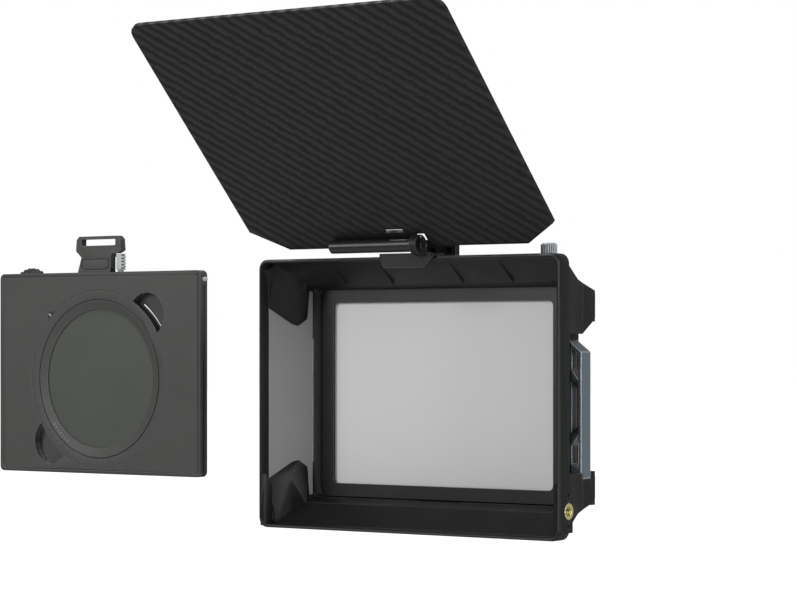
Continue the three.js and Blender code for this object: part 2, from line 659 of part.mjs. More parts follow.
function stageRear() {
  const half = tray.halfWidth + slide;
  const runner = tray.grooveDepth - slide;
  const runnerFrontY = slotFrontY + slide + tray.grooveFront + slide;
  const runnerBackY = slotFrontY + slide + tray.grooveBack - slide;
  const ears = [[lobe.rearLowZ, lobe.rearHighZ], [-lobe.rearHighZ - lobe.corner, -lobe.bottomLowZ]];
  let body = cut(
    joined(
      slab(stageOutline(stage.rearHalfWidth), 'y', stage.splitY, stage.rearY),
      ...ears.map(([z0, z1]) => block(-stage.earHalfWidth, stage.earHalfWidth, stage.splitY, stage.rearY,
        z0, z1)),
    ),
    block(-half, half, slotFrontY, slotBackY, insertedLowZ - fit, stage.halfHeight + overrun),
  );
  for (const side of [-1, 1]) {
    const rail = block(side * (half - runner), side * (half + fit), runnerFrontY, runnerBackY,
      insertedLowZ - 2 * fit, insertedTopZ - tray.grooveStop - fit);
    body = cut(joined(body, rail),
      waistBody(side, stage.plateHalfWidth, stage.splitY - overrun, stage.rearY + overrun,
        lobe.rearLowZ));
  }
  body = cut(
    body,
    rod('y', clamp.bore, slotBackY - overrun / 2, stage.rearY + overrun, 0, 0, roundSides),
    rod('y', round.pocket, stage.splitY - overrun, slotFrontY + overrun / 2, 0, 0, roundSides),
  );
  for (const [x, z] of stageScrewSpots) body = cut(body,
    stageScrewHole(x, z, stageScrewSize.shank + fit / 2));
  for (const [x, z] of flangeScrewSpots) {
    body = cut(body, rod('y', flangeScrewSize.shank + fit / 2, stage.rearY - flangeScrewSize.bite - fit,
      stage.rearY + overrun, x, z, screwSides));
  }
  return body;
}

function stagePieces(group) {
  add(group, 'stage_front', stageFront(), blackNylon());
  add(group, 'stage_rear', stageRear(), blackNylon());
  stageScrewSpots.forEach(([x, z], i) => {
    const length = stage.rearY - stage.splitY - fit;
    addScrew(group, `stage_screw_${i + 1}`, { ...stageScrewSize, length }, [x, stage.rearY + fit / 2, z],
      'back');
  });
}

// Front filter: a frame with tongues, the glass on a foam seal, two clips and a pull tab
function filterFrameBody() {
  const f = filterFrame;
  const glassX = glassHalfX + filter.glassPlay;
  const glassZ = glassHalfZ + filter.glassPlay;
  let body = joined(
    block(-f.halfWidth, f.halfWidth, 0, f.thickness, f.lowZ, f.highZ),
    block(-f.tongueHalfWidth, f.tongueHalfWidth, tongueFrontY, f.thickness, f.lowZ, f.highZ),
  );
  body = cut(
    body,
    slab(rounded(clearHalfX, clearHalfZ, filter.clearCorner), 'y', -overrun, f.thickness),
    block(-glassX, glassX, f.lip, f.thickness + overrun, -glassZ, glassZ),
    filterTabFoot(fit / 2),
  );
  for (const side of [-1, 1]) body = cut(body, clipBody(side, fit / 2));
  return body;
}

const glassBackY = filterFrame.lip + filterSeal.thickness + filter.glassThickness + 2 * filterSeal.gap;

function filterTabFoot(grow) {
  const half = filterTab.halfWidth + grow;
  return block(-half, half, filterTab.frontY - grow, filterFrame.thickness + overrun * (grow > 0 ? 1 : 0),
    filterFrame.highZ - filterTab.footDepth - grow, filterFrame.highZ + overrun * (grow > 0 ? 1 : 0));
}

function filterTabBody() {
  const half = filterTab.halfWidth;
  let body = block(-half, half, filterTab.frontY, filterTab.backY,
    filterFrame.highZ - filterTab.footDepth, filterTab.topZ);
  for (const side of [-1, 1]) {
    const x = side * filterTab.recessX;
    const z1 = filterTab.topZ - filterTab.recessTop;
    body = cut(body, block(x - filterTab.recessWidth / 2, x + filterTab.recessWidth / 2,
      filterTab.frontY - overrun, filterTab.frontY + filterTab.recessDepth, z1 - filterTab.recessHeight, z1));
  }
  return body;
}

function clipBody(side, grow) {
  const x = side * (glassHalfX - filter.glassPlay);
  const out = clip.width / 2 + grow;
  const y0 = glassBackY + filterSeal.gap - grow;
  const y1 = grow > 0 ? filterFrame.thickness + overrun : y0 + clip.thickness;
  return block(x - out, x + out, y0, y1, clip.z - clip.length / 2 - grow, clip.z + clip.length / 2 + grow);
}

function filterPieces(group) {
  add(group, 'filter_frame', filterFrameBody(), darkSteel());
  add(group, 'filter_tab', filterTabBody(), blackNylon());
  const sealFront = filterFrame.lip + filterSeal.gap;
  const glassFront = sealFront + filterSeal.thickness + filterSeal.gap / 2;
  add(group, 'filter_glass',
    block(-glassHalfX, glassHalfX, glassFront, glassFront + filter.glassThickness, -glassHalfZ, glassHalfZ),
    clearGlass());
  const sealX = clearHalfX + filterSeal.inset;
  const sealZ = clearHalfZ + filterSeal.inset;
  const seal = cut(
    block(-glassHalfX, glassHalfX, sealFront, sealFront + filterSeal.thickness, -glassHalfZ, glassHalfZ),
    block(-sealX, sealX, sealFront - overrun, sealFront + overrun, -sealZ, sealZ),
  );
  add(group, 'filter_seal', seal, foam());
  add(group, 'filter_clip_left', clipBody(-1, 0), brightSteel());
  add(group, 'filter_clip_right', clipBody(1, 0), brightSteel());
}

// Lens clamp: a flange with a split ring, ears on top and a block for the lock knob
const flangeScrewSpots = [[-1, -1], [1, -1], [-1, 1], [1, 1]]
  .map(([side, up]) => [side * clamp.screwX, up * clamp.screwZ]);

function clampRing() {
  const y1 = stage.rearY + clamp.flangeThickness;
  let body = joined(
    slab(rounded(clamp.flangeHalfWidth, clamp.flangeHalfHeight, clamp.flangeCorner), 'y', stage.rearY, y1),
    rod('y', clamp.outer, stage.rearY, clamp.rearY, 0, 0, wideSides),
    block(-clamp.earWidth, clamp.earWidth, clamp.earFrontY, clamp.earBackY, clamp.bore, clamp.earTopZ),
    block(lockKnob.x - lockKnob.blockHalf, lockKnob.x + lockKnob.blockHalf, stage.rearY,
      lockKnob.y + lockKnob.blockHalf - fit, clamp.outer / 2, lockKnob.blockTop),
  );
  body = cut(
    body,
    rod('y', clamp.bore, stage.rearY - overrun, clamp.rearY + overrun, 0, 0, wideSides),
    block(-clamp.slit / 2, clamp.slit / 2, y1 + fit, clamp.rearY + overrun, 0, clamp.earTopZ + overrun),
    rod('x', clampScrew.shank + fit / 2, -clamp.earWidth - overrun, clamp.earWidth + overrun, clampScrewY,
      clampScrew.z, screwSides),
    rod('z', lockKnob.shank + fit / 2, lockKnob.blockTop - lockKnob.reach - fit, lockKnob.blockTop + overrun,
      lockKnob.x, lockKnob.y, screwSides),
  );
  for (const [x, z] of flangeScrewSpots) {
    body = cut(body, rod('y', flangeScrewSize.shank + fit / 2, stage.rearY - overrun, y1 + overrun, x, z,
      screwSides));
  }
  return body;
}

const clampScrewY = (clamp.earFrontY + clamp.earBackY) / 2;

function knurledHead(radius, depth, count, low, high) {
  const points = Array.from({ length: 2 * count }, (_, i) => {
    const r = i % 2 ? radius - depth : radius;
    const angle = i * Math.PI / count;
    return [r * Math.cos(angle), r * Math.sin(angle)];
  });
  return slab(outline(points), 'z', low, high);
}

function clampPieces(group) {
  add(group, 'clamp_ring', clampRing(), blackNylon());
  flangeScrewSpots.forEach(([x, z], i) => {
    const length = clamp.flangeThickness + flangeScrewSize.bite - fit;
    addScrew(group, `ring_screw_${i + 1}`, { ...flangeScrewSize, length },
      [x, stage.rearY + clamp.flangeThickness + fit / 2, z], 'back');
  });
  const screw = cut(
    joined(
      knurledHead(clampScrew.head, knurl.depth, knurl.count, 0, clampScrew.headLength),
      rod('z', clampScrew.shank, -clampScrew.length, fit, 0, 0, screwSides),
    ),
    rod('z', clampScrew.head * hexShare, clampScrew.headLength * headCoreShare,
      clampScrew.headLength + overrun, 0, 0,
      hexSides),
  );
  const place = [clamp.earWidth + fit, clampScrewY, clampScrew.z];
  const mesh = add(group, 'clamp_screw', screw, darkSteel(), place);
  mesh.rotation.set(...facing.right);
  const headLow = lockKnob.topZ - lockKnob.headLength;
  const knob = cut(
    joined(
      knurledHead(lockKnob.headRadius, knurl.depth, knurl.count, headLow, lockKnob.topZ),
      rod('z', lockKnob.shank, lockKnob.blockTop - lockKnob.reach, headLow + fit, 0, 0, screwSides),
    ),
    rod('z', lockKnob.headRadius * hexShare, lockKnob.topZ - lockKnob.socketDepth, lockKnob.topZ + overrun,
      0, 0,
      hexSides),
  );
  add(group, 'lock_knob', knob, blueGrey(), [lockKnob.x, lockKnob.y, 0]);
}

// Top flag: a thin panel on a leafed barrel that turns about a pin held in one ear
function flagPanel() {
  const f = flag;
  const shape = new THREE.Shape();
  shape.moveTo(-f.halfWidth + f.cutWidth, f.low);
  shape.lineTo(f.halfWidth - f.cutWidth, f.low);
  shape.lineTo(f.halfWidth, f.low + f.cutHeight);
  shape.absarc(f.halfWidth - f.topCorner, f.high - f.topCorner, f.topCorner, 0, Math.PI / 2, false);
  shape.absarc(-f.halfWidth + f.topCorner, f.high - f.topCorner, f.topCorner, Math.PI / 2, Math.PI, false);
  shape.lineTo(-f.halfWidth, f.low + f.cutHeight);
  shape.closePath();
  let body = cut(
    slab(shape, 'y', f.faceGap, f.faceGap + f.thickness),
    block(ear.left - fit, ear.right + hingePin.headLength + 2 * fit, 0, f.faceGap + overrun * 2,
      f.low - overrun, f.notchHigh),
    flagSlot(),
  );
  for (const x of flagScrewPlaces) body = cut(body, flagScrewHole(x));
  return body;
}

const flagSlot = () => block(flag.slotLeft, flag.slotRight, 0, flag.faceGap + overrun * 2, flag.slotLow,
  flag.slotHigh);
const leafBackY = flag.faceGap - fit;
const leafFrontY = leafBackY - barrel.leafThickness;
const flagScrewPlaces = [-1, 1]
  .map((i) => (barrel.left + barrel.right) / 2 + i * (barrel.right - barrel.left) / 3);
const flagScrewZ = (barrel.leafLow + barrel.leafHigh) / 2;

const flagScrewHole = (x) => rod('y', smallScrew.shank + fit / 2, leafBackY - smallScrew.length + fit,
  flag.faceGap + flag.thickness + overrun, x, flagScrewZ, screwSides);

function hingeBarrel() {
  const b = barrel;
  const core = solid(new THREE.LatheGeometry([
    new THREE.Vector2(0, 0), new THREE.Vector2(b.radius - b.chamfer, 0),
      new THREE.Vector2(b.radius, b.chamfer),
    new THREE.Vector2(b.radius, b.right - b.left), new THREE.Vector2(0, b.right - b.left),
  ], roundSides).rotateZ(-Math.PI / 2).translate(b.left, 0, 0));
  const leaf = block(b.left + b.chamfer, b.right, leafFrontY, leafBackY, b.leafLow, b.leafHigh);
  let body = cut(
    joined(core, leaf),
    rod('x', hingePin.radius + fit / 2, b.left + b.chamfer * 2, b.right + overrun, 0, 0, screwSides),
  );
  for (const x of flagScrewPlaces) body = cut(body, flagScrewHole(x));
  return body;
}

function flagPieces(group) {
  add(group, 'flag_panel', flagPanel(), carbon());
  add(group, 'hinge_barrel', hingeBarrel(), darkSteel());
  flagScrewPlaces.forEach((x, i) => {
    const size = { ...smallScrew, length: flag.thickness + fit + barrel.leafThickness / 2 };
    addScrew(group, `flag_screw_${i + 1}`, size, [x, flag.faceGap + flag.thickness + fit / 2, flagScrewZ],
      'back');
  });
}

// Hinge base on the hood's lip: a front plate, a thin foot and one ear with the pin
function hingeBase() {
  const b = base;
  const topZ = hoodHalfZ + b.footHeight;
  const lowZ = hoodHalfZ - b.drop;
  const frontY = hoodFrontY - b.thickness;
  const plate = slab(outline([[b.left, topZ - b.chamfer / 2], [b.left + b.chamfer / 2, lowZ],
    [b.right - b.chamfer, lowZ], [b.right, topZ - b.chamfer / 2], [b.right, topZ], [b.left, topZ]]),
    'y', frontY, hoodFrontY);
  const foot = block(b.left, b.right, frontY, frontY + b.footLength, hoodHalfZ, topZ);
  const post = slab(outline([[hingeY - ear.radius / 2, topZ - fit], [hingeY + ear.radius, topZ - fit],
    [hingeY + ear.radius, hingeZ], [hingeY - ear.radius / 2, hingeZ]]), 'x', ear.left, ear.right);
  let body = joined(plate, foot, post,
    rod('x', ear.radius, ear.left, ear.right, hingeY, hingeZ, roundSides / 2));
  body = cut(body, rod('x', hingePin.radius + fit / 2, ear.left - overrun, ear.right + overrun, hingeY,
    hingeZ,
    screwSides));
  for (const [y, z] of earScrewPlaces) {
    body = cut(body, rod('x', ear.screwRadius * headCoreShare + fit / 2, (ear.left + ear.right) / 2,
      ear.right + overrun,
      y, z, screwSides));
  }
  return body;
}

const earScrewPlaces = [[hingeY, hingeZ + ear.screwRing], [hingeY + ear.screwRing, hingeZ]];

function basePieces(group) {
  add(group, 'hinge_base', hingeBase(), blackNylon());
  const pin = joined(
    rod('x', hingePin.radius, barrel.left + barrel.chamfer * 3, ear.right + fit, 0, 0, screwSides),
    cut(
      rod('x', hingePin.head, ear.right + fit / 2, ear.right + hingePin.headLength, 0, 0, roundSides / 2),
      rod('x', hingePin.head * hexShare, ear.right + hingePin.headLength / 2, ear.right + overrun * 2, 0, 0,
        hexSides),
    ),
  );
  add(group, 'hinge_pin', pin, darkSteel(), [0, hingeY, hingeZ]);
  earScrewPlaces.forEach(([y, z], i) => {
    const size = { shank: ear.screwRadius * headCoreShare, length: ear.screwRadius * 2, head: ear.screwRadius,
      headHeight: ear.screwHead };
    addScrew(group, `ear_screw_${i + 1}`, size, [ear.right + fit / 2, y, z], 'right', brightSteel());
  });
}

// Filter tray
const bearingPoint = (degrees, radius) => {
  const angle = THREE.MathUtils.degToRad(degrees);
  return [round.x + radius * Math.cos(angle), round.z + radius * Math.sin(angle)];
};
const pitchRadius = (teeth) => teeth * gear.module / 2;
const idlerReach = pitchRadius(round.gearTeeth) + pitchRadius(idler.teeth);
const wheelReach = idlerReach + pitchRadius(idler.teeth) + pitchRadius(wheel.teeth);
const idlerPlace = bearingPoint(wheel.bearing, idlerReach);
const wheelPlace = bearingPoint(wheel.bearing, wheelReach);
const cavityBackY = round.gearBack + slide;
const coverHalfX = tray.halfWidth - tray.coverInset;
const coverHalfZ = tray.halfHeight - tray.coverInset;

const recessBodies = (y0, y1) => recess.bearings.map((bearing) =>
  rod('y', recess.radius, y0, y1, ...bearingPoint(bearing, round.pocket), roundSides / 2));

function sliverBody() {
  const radius = round.pocket + recess.sliverGap;
  const half = THREE.MathUtils.degToRad(recess.sliverArc / 2);
  const middle = THREE.MathUtils.degToRad(recess.bearings[0]);
  const shape = new THREE.Shape();
  shape.absarc(round.x, round.z, radius + recess.sliver, middle - half, middle + half, false);
  shape.absarc(round.x, round.z, radius, middle + half, middle - half, true);
  shape.closePath();
  return slab(shape, 'y', recess.floorY - overrun, tray.thickness + overrun);
}

// A small block at the pocket's rim, turned to the notch's bearing
function notchBlock(length, width, y0, y1, radius) {
  const geometry = new THREE.BoxGeometry(length, y1 - y0, width);
  geometry.rotateY(-THREE.MathUtils.degToRad(notch.bearing));
  const [x, z] = bearingPoint(notch.bearing, radius);
  return solid(geometry.translate(x, (y0 + y1) / 2, z));
}

function latchArmBody(grow, travel) {
  const a = latch;
  const low = a.z + a.barHeight / 2;
  return block(a.armLeft - travel - grow, a.armLeft + a.armWidth + grow, a.barFront - grow, a.barBack + grow,
    low - fit, tray.halfHeight + a.buttonLow + fit);
}

function latchBarBody(grow, travel) {
  const a = latch;
  const half = a.barHeight / 2 + grow;
  return block(a.armLeft - travel - grow,
    tray.halfWidth - tray.grooveDepth - a.travel / 2 + (grow > 0 ? a.travel : 0) / 2,
    a.barFront - grow, a.barBack + grow, a.z - half, a.z + half);
}

const latchMiddleY = (latch.barFront + latch.barBack) / 2;

const gearRoom = (teeth) => pitchRadius(teeth) + gear.addendum + slide;

function trayBody() {
  const t = tray;
  let body = slab(rounded(t.halfWidth, t.halfHeight, t.corner), 'y', 0, t.thickness);
  body = cut(
    body,
    slab(rounded(coverHalfX + fit / 2, coverHalfZ + fit / 2, t.corner), 'y', -overrun,
      t.coverThickness + fit / 2),
    rod('y', gearRoom(round.gearTeeth), t.coverThickness, cavityBackY, round.x, round.z, wideSides),
    rod('y', round.outer + slide, t.coverThickness, round.gearFront + slide, round.x, round.z, wideSides),
    rod('y', round.clear, 0, t.thickness + overrun, round.x, round.z, roundSides),
    rod('y', round.rebate, t.thickness - rearStack, t.thickness + overrun, round.x, round.z, roundSides),
    rod('y', gearRoom(idler.teeth), t.coverThickness, cavityBackY, ...idlerPlace, roundSides / 2),
    rod('y', gearRoom(wheel.teeth), t.coverThickness, cavityBackY, ...wheelPlace, roundSides / 2),
    rod('y', wheel.radius + slide, wheel.front - fit, wheel.back + fit, ...wheelPlace, roundSides),
    rod('y', wheel.axle + fit / 2, 0, t.thickness - fit, ...wheelPlace, screwSides),
    ...recessBodies(-overrun, recess.floorY),
    sliverBody(),
    latchBarBody(slide / 2, latch.travel),
    latchArmBody(slide / 2, latch.travel),
    rod('x', latch.pin + fit / 2, 0, t.halfWidth + overrun, latchMiddleY, latch.z, screwSides),
    springRoom(),
    handleFoot(fit / 2),
  );
  for (const side of [-1, 1]) {
    const x = side * t.halfWidth;
    body = cut(body, block(x - side * t.grooveDepth, x + side * overrun, t.grooveFront, t.grooveBack,
      -t.halfHeight - overrun, t.halfHeight - t.grooveStop));
  }
  for (const [x, z] of coverScrewPlaces) {
    body = cut(
      body,
      rod('y', smallScrew.shank + fit / 2, 0, t.thickness + overrun, x, z, screwSides),
      rod('y', smallScrew.head + fit / 2, t.thickness - smallScrew.headHeight - fit, t.thickness + overrun,
        x, z, screwSides),
    );
  }
  return body;
}

const rearStack = round.glassThickness + rearRing.thickness + 3 * rearRing.gap;
const coverScrewPlaces = [[-1, -1], [1, -1], [-1, 1], [1, 1]]
  .map(([side, up]) => [side * (coverHalfX - coverScrewInset),
    up > 0 ? wheelPlace[1] - wheel.radius - coverScrewInset : coverScrewInset - coverHalfZ]);

function trayCover() {
  const t = tray;
  let body = cut(
    slab(rounded(coverHalfX, coverHalfZ, t.corner - fit), 'y', 0, t.coverThickness),
    rod('y', round.pocket, -overrun, t.coverThickness + overrun, round.x, round.z, wideSides),
    ...recessBodies(-overrun, t.coverThickness + overrun),
    notchBlock(2 * notch.reach, notch.width, -overrun, notch.depth, round.pocket),
    rod('y', idler.pin + fit / 2, t.coverThickness - idler.seat - fit / 2, t.coverThickness + overrun,
      ...idlerPlace, screwSides),
  );
  for (const [x, z] of coverScrewPlaces) {
    body = cut(body, rod('y', smallScrew.shank + fit / 2, coverScrewTipY - fit, t.coverThickness + overrun,
      x, z, screwSides));
  }
  return body;
}

// Turning filter: an outer ring with the gear on its rim, and the front glass in its rebate
function filterRing() {
  const r = round;
  const front = fit / 2;
  const step = cut(
    rod('y', r.step, 0, front + ringGroove.depth, 0, 0, wideSides),
    rod('y', r.step - ringGroove.width, -overrun, overrun, 0, 0, wideSides),
  );
  const blank = joined(
    rod('y', r.outer, front, r.gearFront, 0, 0, wideSides),
    slab(toothed(r.gearTeeth, 0, 0, THREE.MathUtils.degToRad(wheel.bearing)), 'y', front, r.gearBack),
  );
  const cone = new THREE.CylinderGeometry(r.clear, r.cone, r.coneDepth, roundSides);
  return cut(
    blank,
    step,
    rod('y', r.clear, -overrun, r.gearBack + overrun, 0, 0, roundSides),
    solid(cone.translate(0, front + r.coneDepth / 2, 0)),
    rod('y', r.glass + fit / 2, r.gearBack - r.glassThickness - fit / 2, r.gearBack + overrun, 0, 0,
      roundSides),
  );
}

const halfTooth = (teeth) => Math.PI / teeth;
const wheelBearing = THREE.MathUtils.degToRad(wheel.bearing);

function thumbWheel() {
  const outlinePoints = Array.from({ length: wheel.scallops * 4 }, (_, i) => {
    const dip = i % 4 < 2 ? 0 : wheel.scallopDepth;
    const angle = i * Math.PI / (2 * wheel.scallops);
    return [(wheel.radius - dip) * Math.cos(angle), (wheel.radius - dip) * Math.sin(angle)];
  });
  return cut(
    joined(
      slab(outline(outlinePoints), 'y', wheel.front, wheel.back),
      slab(toothed(wheel.teeth, 0, 0, wheelBearing + Math.PI), 'y', round.gearFront, wheel.front + fit),
    ),
    rod('y', wheel.bore, 0, wheel.back + overrun, 0, 0, roundSides / 2),
  );
}

function idlerGear() {
  return cut(
    slab(toothed(idler.teeth, 0, 0, wheelBearing + halfTooth(idler.teeth)), 'y', round.gearFront,
      round.gearBack),
    rod('y', idler.bore, 0, round.gearBack + overrun, 0, 0, screwSides),
  );
}

// Handle on top: a neck with a bare plaque, a flared loop and a foot let into the tray's back
function handleOutline() {
  const h = handle;
  const z = (height) => tray.halfHeight + height;
  const topHalf = h.halfWidth - h.taper;
  const loop = [[h.halfWidth, h.flareHeight], [topHalf, h.height - h.corner],
    [topHalf - h.corner, h.height]];
  return outline([
    [h.neckRight, z(0)],
    [h.neckRight, z(h.neckHeight)],
    ...loop.map(([x, height]) => [h.x + x, z(height)]),
    ...loop.map(([x, height]) => [h.x - x, z(height)]).reverse(),
    [h.neckTopLeft, z(h.neckHeight)],
    [h.neckLeft, z(0)],
  ]);
}

const handleFootX = (handle.neckLeft + handle.neckRight) / 2;

function handleFoot(grow) {
  const h = handle;
  return block(handleFootX - h.footHalf - grow, handleFootX + h.footHalf + grow, h.footFront - grow,
    tray.thickness + (grow > 0 ? overrun : 0),
    tray.halfHeight - h.footHeight - grow, tray.halfHeight + (grow > 0 ? overrun : fit));
}

function trayHandle() {
  const h = handle;
  const low = tray.halfHeight;
  let body = cut(
    slab(handleOutline(), 'y', h.front, h.back),
    slab(rounded(h.halfWidth - h.slotWall, (h.slotHigh - h.slotLow) / 2, handleSlotCorner, h.x,
      low + (h.slotHigh + h.slotLow) / 2),
      'y', h.front - overrun, h.back + overrun),
    block(latch.buttonLeft - latch.travel - slide, h.x + h.halfWidth + overrun, latch.buttonFront - slide,
      latch.buttonBack + slide, low + latch.buttonLow - slide, low + latch.buttonHigh + slide),
    latchArmBody(slide / 2, latch.travel),
    cut(
      slab(rounded(plaque.half, plaque.high / 2, plaque.corner, plaque.x, plaqueZ), 'y', h.front - overrun,
        h.front + plaque.depth),
      slab(rounded(plaque.half - plaque.line, plaque.high / 2 - plaque.line, plaque.corner, plaque.x,
        plaqueZ), 'y', h.front - overrun, h.front + overrun),
    ),
  );
  body = joined(body, handleFoot(0));
  for (const side of [-1, 1]) body = cut(body, handleScrewHole(side));
  return body;
}

const plaqueZ = tray.halfHeight + handle.neckHeight / 2 + fit;
const handleScrewZ = tray.halfHeight - handle.footHeight / 2;
const handleScrewHole = (side) => rod('y', handleScrew.shank + fit / 2, handle.footFront - overrun,
  tray.thickness + overrun, handleFootX + side * handle.screwX, handleScrewZ, screwSides);

// Latch: a serrated button, the arm and bar under it, and the pin at the tray's edge, in one piece
function trayLatch() {
  const a = latch;
  const low = tray.halfHeight;
  const pinLeft = tray.halfWidth - tray.grooveDepth - a.travel;
  let body = joined(
    latchBarBody(0, 0),
    latchArmBody(0, 0),
    block(a.buttonLeft, a.buttonRight, a.buttonFront, a.buttonBack, low + a.buttonLow, low + a.buttonHigh),
    rod('x', a.pin, pinLeft, tray.halfWidth + a.pinProud, latchMiddleY, a.z, screwSides),
  );
  const pitch = (a.buttonHigh - a.buttonLow) / a.ridges;
  for (let i = 0; i < a.ridges; i += 1) {
    const z = low + a.buttonLow + (i + 1) * pitch - pitch / 2;
    body = cut(body, block(a.buttonRight - a.ridgeDepth, a.buttonRight + overrun, a.buttonFront - overrun,
      a.buttonBack + overrun, z - pitch / 5, z + pitch / 5));
  }
  return body;
}

function springRoom() {
  const room = spring.radius + spring.wire + fit;
  return block(spring.left - fit, latch.armLeft, latchMiddleY - room, latchMiddleY + room, latch.z - room,
    latch.z + room);
}

// One unbroken tube wound about the x axis; its least gap to itself is printed
function latchSpring() {
  const s = spring;
  const length = latch.armLeft - fit - s.left - 2 * s.wire;
  const pitch = length / s.turns;
  const count = s.turns * s.steps;
  const positions = [];
  const at = (i) => {
    const angle = i * 2 * Math.PI / s.steps;
    return new THREE.Vector3(s.left + s.wire + i * pitch / s.steps, s.radius * Math.cos(angle),
      s.radius * Math.sin(angle));
  };
  for (let i = 0; i <= count; i += 1) {
    const centre = at(i);
    const outwards = new THREE.Vector3(0, centre.y, centre.z).normalize();
    const along = at(i + 1).sub(at(i - 1)).normalize();
    const across = new THREE.Vector3().crossVectors(along, outwards).normalize();
    for (let j = 0; j < s.sides; j += 1) {
      const angle = j * 2 * Math.PI / s.sides;
      const point = centre.clone().addScaledVector(outwards, s.wire * Math.cos(angle))
        .addScaledVector(across, s.wire * Math.sin(angle));
      positions.push(point.x, point.y, point.z);
    }
  }
  const index = [];
  for (let i = 0; i < count; i += 1) {
    for (let j = 0; j < s.sides; j += 1) {
      const a = i * s.sides + j;
      const b = i * s.sides + (j + 1) % s.sides;
      index.push(a, b, a + s.sides, b, b + s.sides, a + s.sides);
    }
  }
  const last = count * s.sides;
  for (let j = 1; j < s.sides - 1; j += 1) {
    index.push(0, j + 1, j, last, last + j, last + j + 1);
  }
  const geometry = new THREE.BufferGeometry();
  geometry.setAttribute('position', new THREE.Float32BufferAttribute(positions, 3));
  geometry.setIndex(index);
  geometry.computeVertexNormals();
  console.log(`latch spring: least gap between its turns ${(pitch - 2 * s.wire).toFixed(2)} mm`);
  return geometry;
}

function trayPieces(trayGroup) {
  add(trayGroup, 'tray_body', trayBody(), trayGrey());
  add(trayGroup, 'tray_cover', trayCover(), trayGrey());
  add(trayGroup, 'tray_handle', trayHandle(), trayGrey());
  coverScrewPlaces.forEach(([x, z], i) => {
    const seatY = tray.thickness - smallScrew.headHeight;
    addScrew(trayGroup, `cover_screw_${i + 1}`, { ...smallScrew, length: seatY - coverScrewTipY },
      [x, seatY, z], 'back');
  });
  const rearFrontY = tray.thickness - rearStack + rearRing.gap;
  const glassBack = rearFrontY + round.glassThickness;
  add(trayGroup, 'rear_polariser',
    rod('y', round.glass, rearFrontY, glassBack, round.x, round.z, roundSides), darkGlass());
  const retainer = cut(
    rod('y', round.glass, glassBack + rearRing.gap, glassBack + rearRing.gap + rearRing.thickness, round.x,
      round.z, roundSides),
    rod('y', round.clear + fit, 0, tray.thickness + overrun, round.x, round.z, roundSides),
  );
  add(trayGroup, 'rear_retaining_ring', retainer, darkSteel());
  for (const side of [-1, 1]) {
    const hand = side < 0 ? 'left' : 'right';
    addScrew(trayGroup, `handle_screw_${hand}`, handleScrew,
      [handleFootX + side * handle.screwX, tray.thickness + fit / 2, handleScrewZ], 'back');
  }
  add(trayGroup, 'wheel_axle',
    rod('y', wheel.axle, round.gearFront, tray.thickness - 2 * fit, ...wheelPlace, screwSides),
    brightSteel());
  const idlerSeatY = tray.coverThickness - idler.seat;
  add(trayGroup, 'idler_pin', rod('y', idler.pin, idlerSeatY, wheel.front - fit, ...idlerPlace, screwSides),
    brightSteel());
  const pinRadius = round.pocket + notch.reach - notch.pinLength / 2 - fit;
  const indexPin = notchBlock(notch.pinLength, notch.pinWidth, notch.depth - notch.pinHeight - fit / 3,
    notch.depth - fit / 3,
    pinRadius);
  add(trayGroup, 'index_pin', indexPin, brightSteel());
  add(trayGroup, 'filter_ring', filterRing(), trayGrey(), [round.x, 0, round.z]);
  const glassFront = round.gearBack - round.glassThickness;
  add(trayGroup, 'front_polariser',
    rod('y', round.glass, glassFront, round.gearBack, round.x, round.z, roundSides), darkGlass());
  add(trayGroup, 'idler_gear', idlerGear(), brass(), [idlerPlace[0], 0, idlerPlace[1]]);
  add(trayGroup, 'thumb_wheel', thumbWheel(), blackNylon(), [wheelPlace[0], 0, wheelPlace[1]]);
  add(trayGroup, 'tray_latch', trayLatch(), paleNylon());
  const springMesh = new THREE.Mesh(latchSpring(), brightSteel());
  springMesh.name = 'latch_spring';
  springMesh.position.set(0, latchMiddleY, latch.z);
  trayGroup.add(springMesh);
}

function matteBox() {
  const box = new THREE.Group();
  hoodPieces(box);
  sideFrames(box);
  stagePieces(box);
  filterPieces(box);
  clampPieces(box);
  basePieces(box);
  const top = new THREE.Group();
  top.position.set(0, hingeY, hingeZ);
  top.rotation.x = hinge.tilt;
  flagPieces(top);
  box.add(top);
  const beside = new THREE.Group();
  beside.position.set(tray.x, tray.y, tray.z);
  trayPieces(beside);
  box.add(beside);
  box.position.y = -clamp.rearY;
  const whole = new THREE.Group();
  whole.add(box);
  return whole;
}

export default matteBox();
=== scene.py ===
# %% [markdown]
# A matte box for film cameras, with its top flag raised and its filter tray standing beside it.
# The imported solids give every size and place, so this lesson only dresses them: it loads them,
# rebuilds the pieces whose surface needs more than flat facets, and gives each a real finish.

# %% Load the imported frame
import json
import math

import bmesh
import bpy
from mathutils import Matrix, Vector


